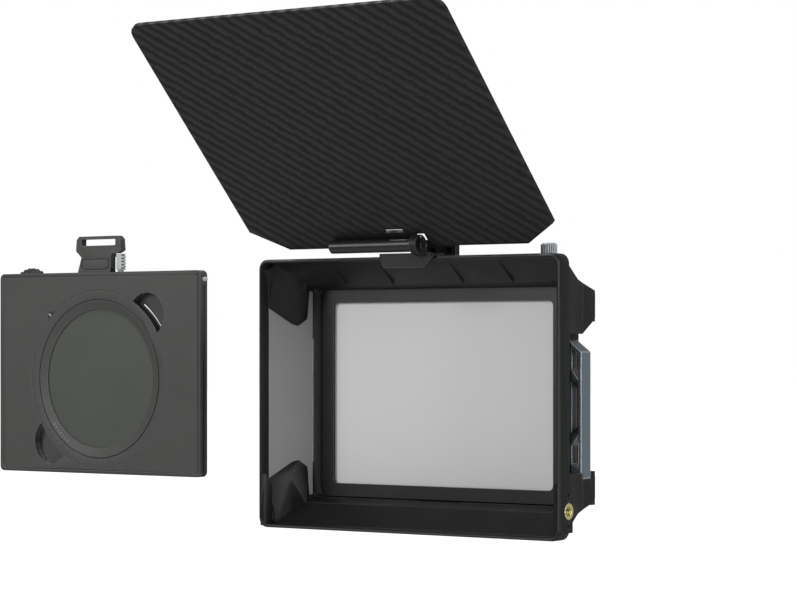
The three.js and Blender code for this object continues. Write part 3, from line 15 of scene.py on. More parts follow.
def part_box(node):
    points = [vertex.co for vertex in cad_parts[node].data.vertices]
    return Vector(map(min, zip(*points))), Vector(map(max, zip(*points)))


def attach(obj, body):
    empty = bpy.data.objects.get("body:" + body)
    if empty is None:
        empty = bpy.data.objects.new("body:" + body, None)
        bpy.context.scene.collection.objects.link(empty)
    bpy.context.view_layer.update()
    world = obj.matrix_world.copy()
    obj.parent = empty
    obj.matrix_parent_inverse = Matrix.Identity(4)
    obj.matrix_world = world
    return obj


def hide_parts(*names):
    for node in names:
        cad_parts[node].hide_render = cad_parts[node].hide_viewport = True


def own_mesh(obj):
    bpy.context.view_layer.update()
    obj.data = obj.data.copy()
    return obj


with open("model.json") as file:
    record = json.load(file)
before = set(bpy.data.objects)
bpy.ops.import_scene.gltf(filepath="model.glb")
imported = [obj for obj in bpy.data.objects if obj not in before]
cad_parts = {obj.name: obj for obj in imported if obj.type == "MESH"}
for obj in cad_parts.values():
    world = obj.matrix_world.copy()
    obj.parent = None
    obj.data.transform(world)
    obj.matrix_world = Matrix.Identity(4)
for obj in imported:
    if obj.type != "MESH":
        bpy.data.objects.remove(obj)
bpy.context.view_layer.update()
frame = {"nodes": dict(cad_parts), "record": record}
nodes = frame["nodes"]
MM = 0.001

# %% [markdown]
# The photograph was taken level, from the front right, with a long lens, so the verticals stay
# parallel. A vertical shift sets the horizon without tilting the camera.

# %% Camera
IMAGE_WIDTH, IMAGE_HEIGHT = 797, 609
FOCAL_PIXELS = 2644.0
HORIZON_ROW = 345.5
SENSOR = 36.0
CAMERA_PLACE = Vector((769.5, -1171.7, 25.2)) * MM
CAMERA_AIM = Vector((-0.5764, 0.817, 0))


def make_camera():
    data = bpy.data.cameras.new("camera")
    data.sensor_width = SENSOR
    data.sensor_fit = "HORIZONTAL"
    data.lens = FOCAL_PIXELS / IMAGE_WIDTH * SENSOR
    data.shift_y = (HORIZON_ROW - IMAGE_HEIGHT / 2) / IMAGE_WIDTH
    data.clip_end = 100
    camera = bpy.data.objects.new("camera", data)
    bpy.context.scene.collection.objects.link(camera)
    camera.location = CAMERA_PLACE
    camera.rotation_euler = CAMERA_AIM.to_track_quat("-Z", "Y").to_euler()
    bpy.context.scene.camera = camera
    return data


lens = make_camera()
print("camera lens", round(lens.lens, 1), "mm, shift", round(lens.shift_y, 4))

# %% [markdown]
# Colours are written as they look on a screen, in hex. Blender's shaders work in linear light, so one
# function turns them. Another adds a node with its settings and links: every material below uses it.

# %% Colour and node helpers


def linear(code, alpha=1.0):
    values = [int(code[i:i + 2], 16) / 255 for i in (1, 3, 5)]
    turned = [v / 12.92 if v <= 0.04045 else ((v + 0.055) / 1.055) ** 2.4 for v in values]
    return (*turned, alpha)


def add_node(tree, kind, settings=None, inputs=None):
    node = tree.nodes.new(kind)
    for name, value in (settings or {}).items():
        setattr(node, name, value)
    for name, value in (inputs or {}).items():
        socket = node.inputs[name]
        if isinstance(value, bpy.types.NodeSocket):
            tree.links.new(value, socket)
        else:
            socket.default_value = value
    return node


def new_material(name, **settings):
    material = bpy.data.materials.new(name)
    material.use_nodes = True
    tree = material.node_tree
    tree.nodes.clear()
    shader = add_node(tree, "ShaderNodeBsdfPrincipled", {}, settings)
    add_node(tree, "ShaderNodeOutputMaterial", {}, {"Surface": shader.outputs["BSDF"]})
    return material, tree, shader


def connect(tree, output, shader, name):
    tree.links.new(output, shader.inputs[name])


print("screen grey #808080 is", round(linear("#808080")[0], 3), "in linear light")

# %% [markdown]
# Real edges are never knife sharp: a moulded edge has a small round, and a machined one is broken with
# a file. The Bevel node rounds the shading at each edge, and the same node tells where an edge is, so
# the edges can be a little paler than the faces: partly wear from handling, and partly painted
# highlight, the light that a rounded edge catches.

# %% Rounded edges, worn and with painted highlight
# The cosine between the rounded and the plain normal, where the wear and the painted edge highlight start
# and where they are full.
WEAR_AND_HIGHLIGHT_START, WEAR_AND_HIGHLIGHT_FULL = 0.995, 0.9


def spread(tree, value, low, high, start=0.3, end=0.7):
    """Stretch a value that runs from start to end, so that it runs from low to high."""
    return add_node(tree, "ShaderNodeMapRange", {}, {"Value": value, "From Min": start, "From Max": end,
                                                     "To Min": low, "To Max": high}).outputs[0]


def edge_normal(tree, radius):
    return add_node(tree, "ShaderNodeBevel", {"samples": 6}, {"Radius": radius * MM}).outputs["Normal"]


def edge_mask(tree, radius):
    rounded = edge_normal(tree, radius)
    plain = add_node(tree, "ShaderNodeNewGeometry").outputs["Normal"]
    dot = add_node(tree, "ShaderNodeVectorMath", {"operation": "DOT_PRODUCT"}, {0: rounded, 1: plain})
    return spread(tree, dot.outputs["Value"], 0.0, 1.0, WEAR_AND_HIGHLIGHT_START, WEAR_AND_HIGHLIGHT_FULL)


print("wear starts where an edge turns by", round(math.degrees(math.acos(WEAR_AND_HIGHLIGHT_START)), 1), "degrees")

# %% [markdown]
# A pattern needs a place on the piece, and Object coordinates give it in metres. Noise gives the grain,
# a mix goes from one colour to another, and a bump turns a height in millimetres into tilted light.

# %% Pattern helpers


def place_of(tree, centre=(0, 0, 0), turn=(0, 0, 0), scale=(1, 1, 1)):
    coordinate = add_node(tree, "ShaderNodeTexCoord").outputs["Object"]
    moved = add_node(tree, "ShaderNodeVectorMath", {"operation": "SUBTRACT"}, {0: coordinate, 1: centre})
    return add_node(tree, "ShaderNodeMapping", {"vector_type": "POINT"},
                    {"Vector": moved.outputs[0], "Rotation": turn, "Scale": scale}).outputs[0]


def noise(tree, vector, size_mm, detail=2.0):
    return add_node(tree, "ShaderNodeTexNoise", {}, {"Vector": vector, "Scale": 1 / (size_mm * MM),
                                                     "Detail": detail, "Roughness": 0.6}).outputs[0]


def mixed(tree, factor, first, second):
    """A mix of two colours. Its sockets share names with those for numbers, so they go by place."""
    mix = add_node(tree, "ShaderNodeMix", {"data_type": "RGBA"}, {"Factor": factor})
    for index, value in ((6, first), (7, second)):
        if isinstance(value, bpy.types.NodeSocket):
            tree.links.new(value, mix.inputs[index])
        else:
            mix.inputs[index].default_value = value
    return mix.outputs[2]


def bump(tree, height, distance_mm, normal, strength=1.0):
    return add_node(tree, "ShaderNodeBump", {}, {"Height": height, "Distance": distance_mm * MM,
                                                 "Strength": strength, "Normal": normal}).outputs[0]


def shaded(code, share):
    """A hex colour with each channel brought down to a share of itself."""
    return "#" + "".join(f"{int(int(code[i:i + 2], 16) * share):02x}" for i in (1, 3, 5))


print("half of #808080 is", shaded("#808080", 0.5))

# %% [markdown]
# One function makes every grained finish: a fine grain, a gloss that drifts slowly, paler edges that are
# partly wear and partly painted highlight, and painted shade: a darker tone in small holes and grooves,
# which hold the least light. The Ambient Occlusion node measures how open the surface is. It looks at
# the piece alone, so it holds at every pose.

# %% One grained finish
# The painted shade in holes and grooves: how far it looks for walls, over what openness it fades in, and how
# dark it gets as a share of the face colour.
CREVICE_REACH = 3.0 * MM
CREVICE_RANGE = (0.3, 0.8)
CREVICE_SHADE_TONE = 0.45
DRIFT_SIZE = 22.0


def openness(tree):
    """1 on a face or an outer edge, near 0 inside a small hole."""
    return add_node(tree, "ShaderNodeAmbientOcclusion", {"samples": 8, "only_local": True},
                    {"Distance": CREVICE_REACH}).outputs["AO"]


def grained(name, face, worn_and_highlight, grain_mm, grain_deep, rough, edge_mm, even=0.94, **settings):
    """Face and worn are hex colours, sizes are in millimetres, and even is how little the tone drifts. The
    worn colour tints the grain's specks and the edges, which are partly wear and partly painted highlight.
    """
    material, tree, shader = new_material(name, **settings)
    where = place_of(tree)
    broad = noise(tree, where, DRIFT_SIZE, 3.0)
    fine = noise(tree, where, grain_mm, 2.0)
    tone = mixed(tree, spread(tree, broad, 0.0, 1.0), linear(face), linear(shaded(face, even)))
    speck = mixed(tree, spread(tree, fine, 0.0, 3 * (1 - even)), tone, linear(worn_and_highlight))
    # Paler edges: partly wear, and partly painted highlight where a rounded edge catches the light.
    lit = mixed(tree, edge_mask(tree, edge_mm), speck, linear(worn_and_highlight))
    # Painted shade: where the surface is closed in, the face colour is painted darker.
    unshaded_share = spread(tree, openness(tree), 0.0, 1.0, *CREVICE_RANGE)
    painted_crevice_shade = linear(shaded(face, CREVICE_SHADE_TONE))
    connect(tree, mixed(tree, unshaded_share, painted_crevice_shade, lit), shader, "Base Color")
    connect(tree, spread(tree, broad, *rough), shader, "Roughness")
    connect(tree, bump(tree, fine, grain_deep, edge_normal(tree, edge_mm)), shader, "Normal")
    return material


print("grained finish ready, with crevices measured over", CREVICE_REACH / MM, "mm")

# %% [markdown]
# Glass-filled nylon, injection moulded in a spark-eroded mould: almost black, with a fine even grain
# that spreads every highlight into a soft grey sheen. The hood, the stage and the clamp are this. The
# thumb wheel is a shade lighter, and the latch button pale grey. The real grain is finer than the half
# millimetre drawn here, which is as fine as this view can show.

# %% Moulded nylon
moulded_nylon = grained("moulded_black_nylon", face="#0c0c0d", worn_and_highlight="#626466", grain_mm=0.5,
                        grain_deep=0.008, rough=(0.44, 0.56), edge_mm=0.55, even=0.985,
                        **{"Specular IOR Level": 0.3})
wheel_nylon = grained("moulded_wheel_nylon", face="#1b1c1d", worn_and_highlight="#3a3c3e", grain_mm=0.6,
                      grain_deep=0.01, rough=(0.42, 0.52), edge_mm=0.3, even=0.92,
                      **{"Specular IOR Level": 0.35})
pale_nylon = grained("moulded_pale_grey_nylon", face="#b4b9b7", worn_and_highlight="#d4d8d6", grain_mm=0.5,
                     grain_deep=0.008, rough=(0.42, 0.52), edge_mm=0.25,
                     **{"Specular IOR Level": 0.4})
print("nylons ready:", moulded_nylon.name, wheel_nylon.name, pale_nylon.name)

# %% [markdown]
# The smooth side panels are sheet metal with a satin grey coat: no grain, only a faint unevenness.

# %% Satin coated sheet
satin_sheet = grained("satin_coated_sheet", face="#80807f", worn_and_highlight="#9c9c9b", grain_mm=1.6, grain_deep=0.001,
                      rough=(0.46, 0.5), edge_mm=0.3, even=0.99, **{"Specular IOR Level": 0.4})
print("panel coat ready:", satin_sheet.name)

# %% [markdown]
# Anodised aluminium is bead blasted first, which leaves a fine sparkle, and is then dyed: blue-grey on
# the side frames and the lock knob, dark grey on the tray, and black on the hinge's barrel, the front
# filter's frame, the clamp screw and most other screws.

# %% Anodised aluminium
blue_anodise = grained("anodised_aluminium_blue_grey", face="#606d77", worn_and_highlight="#f2f6f8", grain_mm=0.35,
                       grain_deep=0.005, rough=(0.36, 0.44), edge_mm=0.7, even=0.98, Metallic=0.4)
tray_anodise = grained("anodised_aluminium_dark_grey", face="#424241", worn_and_highlight="#8a8a88", grain_mm=0.4,
                       grain_deep=0.006, rough=(0.5, 0.58), edge_mm=0.35, even=0.985,
                       **{"Metallic": 0.25, "Specular IOR Level": 0.4})
black_anodise = grained("anodised_aluminium_black", face="#17181a", worn_and_highlight="#77797c", grain_mm=0.35,
                        grain_deep=0.005, rough=(0.28, 0.34), edge_mm=0.3, even=0.98,
                        **{"Metallic": 0.3, "Specular IOR Level": 0.5})
print("anodised finishes ready:", blue_anodise.name, tray_anodise.name, black_anodise.name)

# %% [markdown]
# The tray's pins, the wheel's axle, the filter's clips, the spring and the smallest screws are bright
# stainless steel. The threaded inserts and the small gear are brass. A lathe tool leaves fine rings
# about an insert's axis, drawn here coarser than real ones so that a close view shows them, and their
# pale cream bands are painted highlight. A wave texture has 20 radians in a unit of length.

# %% Bright steel and turned brass
bright_steel = grained("bright_stainless_steel", face="#c4c6c8", worn_and_highlight="#e6e8ea", grain_mm=0.8,
                       grain_deep=0.002, rough=(0.18, 0.3), edge_mm=0.2, Metallic=1.0)
TOOL_MARK = 0.49323 * MM
TOOL_DEEP = 0.01
WAVE_LENGTH = math.tau / 20
BRASS_EDGE = 0.25


def turned_brass():
    material, tree, shader = new_material("turned_brass", Metallic=0.75, Roughness=0.25)
    low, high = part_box("brass_insert_right")
    middle = (low + high) / 2
    where = place_of(tree, centre=(0, middle.y, middle.z))
    rings = add_node(tree, "ShaderNodeTexWave", {"wave_type": "RINGS", "rings_direction": "X"},
                     {"Vector": where, "Scale": WAVE_LENGTH / TOOL_MARK, "Distortion": 0.4}).outputs["Fac"]
    # The rings run from brass to pale cream: real tool marks, with their cream bands painted highlight.
    connect(tree, mixed(tree, rings, linear("#d6cb68"), linear("#fbf6cc")), shader, "Base Color")
    connect(tree, bump(tree, rings, TOOL_DEEP, edge_normal(tree, BRASS_EDGE)), shader, "Normal")
    return material


brass = turned_brass()
print("metals ready:", bright_steel.name, brass.name)

# %% [markdown]
# The front filter is a mist glass: a pale veil in the sheet softens the picture, so it looks light
# grey over whatever is behind it. The two polarisers in the tray together let little light through.
# A thin foam tape lies about the front filter and keeps stray light out.

# %% Filter glass
GLASS_IOR = 1.52
STREAK_SIZE, STREAK_RISE = 60.0, 1.6


def sheet_glass(name, colour, alpha, rough, gloss):
    material, tree, shader = new_material(name, **{"Base Color": linear(colour), "Alpha": alpha,
                                                   "IOR": GLASS_IOR, "Specular IOR Level": gloss})
    streaks = noise(tree, place_of(tree), STREAK_SIZE, 2.0)
    connect(tree, spread(tree, streaks, rough, rough * STREAK_RISE), shader, "Roughness")
    return material


mist_glass = sheet_glass("mist_filter_glass", "#dcdcdc", alpha=0.94, rough=0.42, gloss=0.16)
polariser_glass = sheet_glass("polarising_filter_glass", "#4a4e49", alpha=0.95, rough=0.3, gloss=0.3)
foam_tape = grained("foam_tape", face="#141414", worn_and_highlight="#1c1c1c", grain_mm=0.7, grain_deep=0.06,
                    rough=(0.85, 0.95), edge_mm=0.2, **{"Specular IOR Level": 0.2})
print("filters ready:", mist_glass.name, polariser_glass.name, foam_tape.name)

# %% [markdown]
# The flag is a carbon sheet in 2 x 2 twill with a matt lacquer. Each tow passes over two and under
# two, one step further along in every row, and that step draws the slanting lines. The weave is in
# the flag's own plane, so the pattern is turned by the flag's tilt, and its tow is 2 mm wide. The
# lines waver a little, because no cloth is laid up quite straight.

# %% Carbon twill
FLAG_TILT = math.radians(44.8)
JOINTS = {joint["name"]: joint for joint in frame["record"]["behaviour"]["joints"]}
HINGE = Vector((0, *JOINTS["flag_tilt"]["pos_m"][1:]))
TOW = 2.0 * MM
REPEAT = 4
TOW_FALL = 3.2
WAVER_SIZE, WAVER = 5.0, 1.9
RIDGE_SOFT = 0.8
CLOTH_ROUGH = (0.75, 0.5)
WEAVE_DEEP, TOW_SHARE, WEAVE_STRENGTH = 0.2, 0.8, 0.8
FLAG_EDGE = 0.4


def calculate(tree, operation, first, second=0.0):
    return add_node(tree, "ShaderNodeMath", {"operation": operation}, {0: first, 1: second}).outputs[0]


def tow_profile(tree, along):
    """The rounded back of one tow, highest at its middle."""
    centred = calculate(tree, "SUBTRACT", calculate(tree, "FRACT", along), 0.5)
    squared = calculate(tree, "MULTIPLY", calculate(tree, "MULTIPLY", centred, centred), -TOW_FALL)
    return calculate(tree, "ADD", squared, 1.0)


def ridge(tree, across, up):
    """The slanting ridge where the tows of neighbouring rows step aside together, from 0 to 1."""
    wavy = calculate(tree, "MULTIPLY", noise(tree, place_of(tree), WAVER_SIZE, 1.0), WAVER)
    along = calculate(tree, "ADD", calculate(tree, "ADD", across, up), wavy)
    wave = calculate(tree, "COSINE", calculate(tree, "MULTIPLY", along, math.tau / REPEAT))
    return spread(tree, wave, 0.0, 1.0, -RIDGE_SOFT, RIDGE_SOFT)


def carbon_twill():
    material, tree, shader = new_material("matt_twill_carbon", **{"Specular IOR Level": 0.35})
    where = place_of(tree, centre=tuple(HINGE), turn=(-FLAG_TILT, 0, 0), scale=(1 / TOW, 1 / TOW, 1 / TOW))
    parts = add_node(tree, "ShaderNodeSeparateXYZ", {}, {0: where})
    across, up = parts.outputs[0], parts.outputs[2]
    steps = calculate(tree, "ADD", calculate(tree, "FLOOR", across), calculate(tree, "FLOOR", up))
    turn = calculate(tree, "FLOORED_MODULO", steps, REPEAT)
    upright_over = calculate(tree, "LESS_THAN", turn, (REPEAT - 1) / 2)
    height = add_node(tree, "ShaderNodeMix", {"data_type": "FLOAT"},
                      {0: upright_over, 2: tow_profile(tree, up), 3: tow_profile(tree, across)}).outputs[0]
    # Painted sheen: the upright and the level tows are one fibre, painted in two tones for the different
    # light that each direction throws back.
    tone = mixed(tree, upright_over, linear("#1c1c1d"), linear("#252527"))
    weave = mixed(tree, height, linear("#101011"), tone)
    slant = ridge(tree, across, up)
    lined = mixed(tree, slant, linear("#050506"), weave)
    # The flag's edges are painted paler: partly wear, and partly painted highlight.
    connect(tree, mixed(tree, edge_mask(tree, FLAG_EDGE), lined, linear("#3a3a3c")), shader, "Base Color")
    connect(tree, spread(tree, slant, *CLOTH_ROUGH, 0.0, 1.0), shader, "Roughness")
    raised = calculate(tree, "ADD", calculate(tree, "MULTIPLY", height, TOW_SHARE), slant)
    folded = bump(tree, raised, WEAVE_DEEP, edge_normal(tree, FLAG_EDGE), WEAVE_STRENGTH)
    connect(tree, folded, shader, "Normal")
    return material


carbon = carbon_twill()
print("flag cloth ready:", carbon.name, "with a tow of", TOW / MM, "mm")

# %% [markdown]
# Each solid gets its finish here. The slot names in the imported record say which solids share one.

# %% Give every solid its finish
FINISHES = {
    "black_nylon": moulded_nylon,
    "wheel_nylon": wheel_nylon,
    "pale_nylon": pale_nylon,
    "grey_panel": satin_sheet,
    "blue_grey_anodised": blue_anodise,
    "tray_anodised": tray_anodise,
    "dark_steel": black_anodise,
    "bright_steel": bright_steel,
    "brass": brass,
    "clear_filter": mist_glass,
    "dark_filter": polariser_glass,
    "foam": foam_tape,
    "carbon_panel": carbon,
}
SLOT_OF = {part["node"]: part["material_slot"] for part in frame["record"]["subparts"]}


def dress(piece, material):
    piece.data.materials.clear()
    piece.data.materials.append(material)


for name, solid in nodes.items():
    dress(solid, FINISHES[SLOT_OF[name]])
print("dressed", len(nodes), "solids with", len(FINISHES), "finishes")

# %% [markdown]
# The solids are made of flat facets, which shows on round and turned pieces. A copy with its corners
# joined can be shaded smooth across every shallow edge and stay crisp across the steep ones. Long thin
# triangles would pull the shading askew, so flat stretches are first dissolved and cut afresh, except
# where a flat face has small holes through it, which that would close.

# %% Handing over a dressed piece
BODIES = frame["record"]["behaviour"]["bodies"]
BODY_OF = {node: body for body, members in BODIES.items() for node in members}
SHARP_FROM = math.radians(32.0)


def hand_over(mesh, node):
    """A mesh that already stands in its place takes the solid's place, body and finish."""
    for face in mesh.polygons:
        face.use_smooth = True
    mesh.set_sharp_from_angle(angle=SHARP_FROM)
    piece = bpy.data.objects.new(node + "_surface", mesh)
    bpy.context.scene.collection.objects.link(piece)
    dress(piece, FINISHES[SLOT_OF[node]])
    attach(piece, BODY_OF[node])
    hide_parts(node)
    return piece


# %% Smooth copies of the rounded solids
SAME_POINT = 0.004 * MM
FLAT_WITHIN = math.radians(0.6)
# How far large faces outweigh small ones where their shading meets: 50 is neutral, 100 the most.
LARGE_FACE_WEIGHT = 80
# How far from the middle plane each pierced solid's holes start: its flat faces beyond that are kept.
PIERCED_FROM = {"tray_body": 0.0, "tray_cover": 0.0, "hood_shell": 93.0 * MM}
ROUNDED = [
    "hood_shell", "stage_front", "stage_rear", "clamp_ring", "flag_panel", "hinge_base", "hinge_barrel",
    "tray_body", "tray_cover", "tray_handle", "filter_ring", "front_polariser", "rear_polariser",
    "rear_retaining_ring", "brass_insert_left", "brass_insert_right", "wheel_axle", "idler_gear",
    "idler_pin", "tray_latch", "hinge_pin", "latch_spring", "filter_frame", "filter_tab",
    "side_panel_left", "side_panel_right", "side_frame_left", "side_frame_right", "thumb_wheel",
]


def recut(work, reach):
    """Dissolve and recut the flat stretches that lie nearer the middle plane than reach."""
    inner = [edge for edge in work.edges if min(abs(vert.co.x) for vert in edge.verts) < reach]
    if inner:
        ends = list({vert for edge in inner for vert in edge.verts})
        bmesh.ops.dissolve_limit(work, angle_limit=FLAT_WITHIN, verts=ends, edges=inner)
        bmesh.ops.triangulate(work, faces=work.faces)


def keep_shading(piece):
    weighted = piece.modifiers.new("weighted", "WEIGHTED_NORMAL")
    weighted.keep_sharp = True
    weighted.weight = LARGE_FACE_WEIGHT


def smooth_copy(node):
    mesh = nodes[node].data.copy()
    mesh.name = node + "_surface"
    work = bmesh.new()
    work.from_mesh(mesh)
    bmesh.ops.remove_doubles(work, verts=work.verts, dist=SAME_POINT)
    recut(work, PIERCED_FROM.get(node, math.inf))
    work.to_mesh(mesh)
    work.free()
    piece = hand_over(mesh, node)
    keep_shading(piece)


for name in ROUNDED:
    smooth_copy(name)
print("smoothed", len(ROUNDED), "solids")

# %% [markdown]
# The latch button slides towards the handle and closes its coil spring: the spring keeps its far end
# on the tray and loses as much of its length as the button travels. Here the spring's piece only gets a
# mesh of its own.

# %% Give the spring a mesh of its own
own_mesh(bpy.data.objects["latch_spring_surface"])

# %% [markdown]
# What repeats is grown by Geometry Nodes: a tree is built once with named sizes, and each piece takes
# its own mesh from it. A small holder object carries the tree while it is evaluated. Its result is
# copied to a plain mesh, so nothing live is left on the finished piece.

# %% Growing a mesh from a tree of sizes


def size_tree(name, labels):
    tree = bpy.data.node_groups.new(name, "GeometryNodeTree")
    tree.interface.new_socket("Geometry", in_out="OUTPUT", socket_type="NodeSocketGeometry")
    for label in labels:
        kind = "NodeSocketInt" if label.endswith("count") else "NodeSocketFloat"
        tree.interface.new_socket(label, in_out="INPUT", socket_type=kind)
    return tree, add_node(tree, "NodeGroupInput").outputs


def close_tree(tree, geometry):
    real = add_node(tree, "GeometryNodeRealizeInstances", {}, {"Geometry": geometry}).outputs[0]
    add_node(tree, "NodeGroupOutput", {}, {"Geometry": real})
    return tree


def grown_mesh(tree, name, sizes):
    holder = bpy.data.objects.new("holder", bpy.data.meshes.new("holder"))
    bpy.context.scene.collection.objects.link(holder)
    modifier = holder.modifiers.new("grow", "NODES")
    modifier.node_group = tree
    for item in tree.interface.items_tree:
        if item.in_out == "INPUT":
            modifier[item.identifier] = sizes[item.name]
    graph = bpy.context.evaluated_depsgraph_get()
    mesh = bpy.data.meshes.new_from_object(holder.evaluated_get(graph))
    mesh.name = name
    bpy.data.objects.remove(holder)
    return mesh


print("ready to grow meshes from trees")

# %% [markdown]
# A socket screw is a plain cylinder with a chamfered rim, a six-sided socket and a shank. A cone
# stands for the chamfer, and a boolean takes the socket out. Sizes follow the solids they replace.

# %% Socket screws


def lifted(tree, geometry, height):
    shift = add_node(tree, "ShaderNodeCombineXYZ", {}, {"Z": height}).outputs[0]
    return add_node(tree, "GeometryNodeTransform", {}, {"Geometry": geometry,
                                                        "Translation": shift}).outputs[0]


def halfway(tree, low, high):
    return calculate(tree, "MULTIPLY", calculate(tree, "ADD", low, high), 0.5)


def cylinder(tree, radius, low, high, sides):
    """A cylinder about z between two heights. The node centres it, so it is lifted to its middle."""
    depth = calculate(tree, "SUBTRACT", high, low)
    body = add_node(tree, "GeometryNodeMeshCylinder", {}, {"Vertices": sides, "Radius": radius,
                                                           "Depth": depth}).outputs[0]
    return lifted(tree, body, halfway(tree, low, high))


def cone(tree, radius, top, low, high, sides):
    """A cone's stump about z between two heights. The node stands it on its base."""
    depth = calculate(tree, "SUBTRACT", high, low)
    body = add_node(tree, "GeometryNodeMeshCone", {}, {"Vertices": sides, "Radius Top": top,
                                                       "Radius Bottom": radius, "Depth": depth}).outputs[0]
    return lifted(tree, body, low)


def merged(tree, operation, first, others):
    """A union of all, or the first less the others."""
    node = add_node(tree, "GeometryNodeMeshBoolean", {"operation": operation, "solver": "EXACT"})
    if operation == "DIFFERENCE":
        tree.links.new(first, node.inputs[0])
    else:
        others = [*others, first]
    for other in others:
        tree.links.new(other, node.inputs[1])
    return node.outputs[0]


SCREW_SIZES = ["head radius", "head height", "shank radius", "shank length", "chamfer"]
SOCKET_SHARE = 0.5
WELD = 0.05 * MM
SCREW_SIDES, SHANK_SIDES, KEY_SIDES = 32, 24, 6


def head_with_socket(tree, sizes, sides):
    """The head's cylinder, its chamfered rim and the hole for the key."""
    radius, height, chamfer = sizes["head radius"], sizes["head height"], sizes["chamfer"]
    shoulder = calculate(tree, "SUBTRACT", height, chamfer)
    drum = cylinder(tree, radius, 0.0, shoulder, sides)
    rim = cone(tree, radius, calculate(tree, "SUBTRACT", radius, chamfer), shoulder, height, sides)
    key = cylinder(tree, calculate(tree, "MULTIPLY", radius, SOCKET_SHARE),
                   calculate(tree, "MULTIPLY", height, SOCKET_SHARE), calculate(tree, "ADD", height, MM),
                   KEY_SIDES)
    return drum, rim, key


def shank_below(tree, sizes):
    """The shank hangs down from the head's seat and reaches a hair into the head, so the two join."""
    end = calculate(tree, "MULTIPLY", sizes["shank length"], -1.0)
    return cylinder(tree, sizes["shank radius"], end, WELD, SHANK_SIDES)


def screw_tree():
    tree, sizes = size_tree("socket_screw", SCREW_SIZES)
    drum, rim, key = head_with_socket(tree, sizes, SCREW_SIDES)
    whole = merged(tree, "UNION", drum, [rim, shank_below(tree, sizes)])
    return close_tree(tree, merged(tree, "DIFFERENCE", whole, [key]))


SCREW = screw_tree()
OUT_BACK = Vector((0, 1, 0))
OUT_RIGHT = Vector((1, 0, 0))
OUT_UP = Vector((0, 0, 1))
OUT_OF_FLAG = Vector((0, math.cos(FLAG_TILT), math.sin(FLAG_TILT)))
# Each row: the screws, which way their heads face, and their SCREW_SIZES in millimetres.
SCREWS = [
    ([f"stage_screw_{i}" for i in range(1, 5)], OUT_BACK, (1.4, 1.2, 0.8, 12.3, 0.25)),
    ([f"ring_screw_{i}" for i in range(1, 5)], OUT_BACK, (2.2, 1.6, 1.2, 5.2, 0.3)),
    ([f"cover_screw_{i}" for i in range(1, 5)], OUT_BACK, (1.4, 0.7, 0.8, 4.6, 0.15)),
    (["handle_screw_left", "handle_screw_right"], OUT_BACK, (1.6, 0.4, 0.9, 1.0, 0.12)),
    (["flag_screw_1", "flag_screw_2"], OUT_OF_FLAG, (1.4, 0.7, 0.8, 3.0, 0.15)),
    (["ear_screw_1", "ear_screw_2"], OUT_RIGHT, (0.85, 0.5, 0.38, 1.2, 0.12)),
]


def upright_to(out, seat):
    return Matrix.Translation(seat) @ out.to_track_quat("Z", "Y").to_matrix().to_4x4()


def set_in_place(tree, node, out, sizes):
    """Grow a screw or knob, stand it along out, and seat it so that it fills the solid's box."""
    low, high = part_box(node)
    seat = (low + high) / 2 - out * (sizes["head height"] - sizes["shank length"]) / 2
    mesh = grown_mesh(tree, node + "_surface", sizes)
    mesh.transform(upright_to(out, seat))
    hand_over(mesh, node)


def sizes_in_mm(labels, values):
    """Give each value its label. A count stays as it is, and a length is turned to metres."""
    return {label: value if label.endswith("count") else value * MM for label, value in zip(labels, values)}


for names, out, values in SCREWS:
    for name in names:
        set_in_place(SCREW, name, out, sizes_in_mm(SCREW_SIZES, values))
print("grew", sum(len(names) for names, _, _ in SCREWS), "screws from", SCREW.name)

# %% [markdown]
# Knobs are knurled so that cold fingers can turn them: fine straight ribs all the way round, cut by
# rolling. One tree makes both knobs. A rib is set on each point of a circle and turned by its number.

# %% Knurled knobs
KNOB_SIZES = [*SCREW_SIZES, "rib count", "rib depth", "flange height"]
RIB_WIDTH_SHARE = 0.52
KNOB_SIDES = 48


def ribs(tree, sizes, low, high):
    count = sizes["rib count"]
    circle = add_node(tree, "GeometryNodeMeshCircle", {}, {"Vertices": count,
                                                           "Radius": sizes["head radius"]}).outputs[0]
    pitch = calculate(tree, "DIVIDE", math.tau, count)
    arc = calculate(tree, "MULTIPLY", sizes["head radius"], pitch)
    size = add_node(tree, "ShaderNodeCombineXYZ", {}, {
        "X": calculate(tree, "MULTIPLY", sizes["rib depth"], 2.0),
        "Y": calculate(tree, "MULTIPLY", arc, RIB_WIDTH_SHARE),
        "Z": calculate(tree, "SUBTRACT", high, low)}).outputs[0]
    rib = add_node(tree, "GeometryNodeMeshCube", {}, {"Size": size}).outputs[0]
    number = add_node(tree, "GeometryNodeInputIndex").outputs[0]
    angle = calculate(tree, "MULTIPLY", number, pitch)
    turn = add_node(tree, "ShaderNodeCombineXYZ", {}, {"Z": angle}).outputs[0]
    ring = add_node(tree, "GeometryNodeInstanceOnPoints", {}, {"Points": circle, "Instance": rib,
                                                               "Rotation": turn}).outputs[0]
    return lifted(tree, ring, halfway(tree, low, high))


def knob_tree():
    tree, outer = size_tree("knurled_knob", KNOB_SIZES)
    sizes = {name: outer[name] for name in KNOB_SIZES}
    sizes["head radius"] = calculate(tree, "SUBTRACT", outer["head radius"], outer["rib depth"])
    drum, rim, key = head_with_socket(tree, sizes, KNOB_SIDES)
    chamfer, height = sizes["chamfer"], sizes["head height"]
    flange = cylinder(tree, outer["head radius"], 0.0, outer["flange height"], KNOB_SIDES)
    solid = merged(tree, "UNION", drum, [rim, shank_below(tree, sizes), flange])
    whole = merged(tree, "DIFFERENCE", solid, [key])
    band = ribs(tree, sizes, calculate(tree, "ADD", outer["flange height"], chamfer),
                calculate(tree, "SUBTRACT", height, chamfer))
    both = add_node(tree, "GeometryNodeJoinGeometry")
    for geometry in (whole, band):
        tree.links.new(geometry, both.inputs[0])
    return close_tree(tree, both.outputs[0])


KNOB = knob_tree()
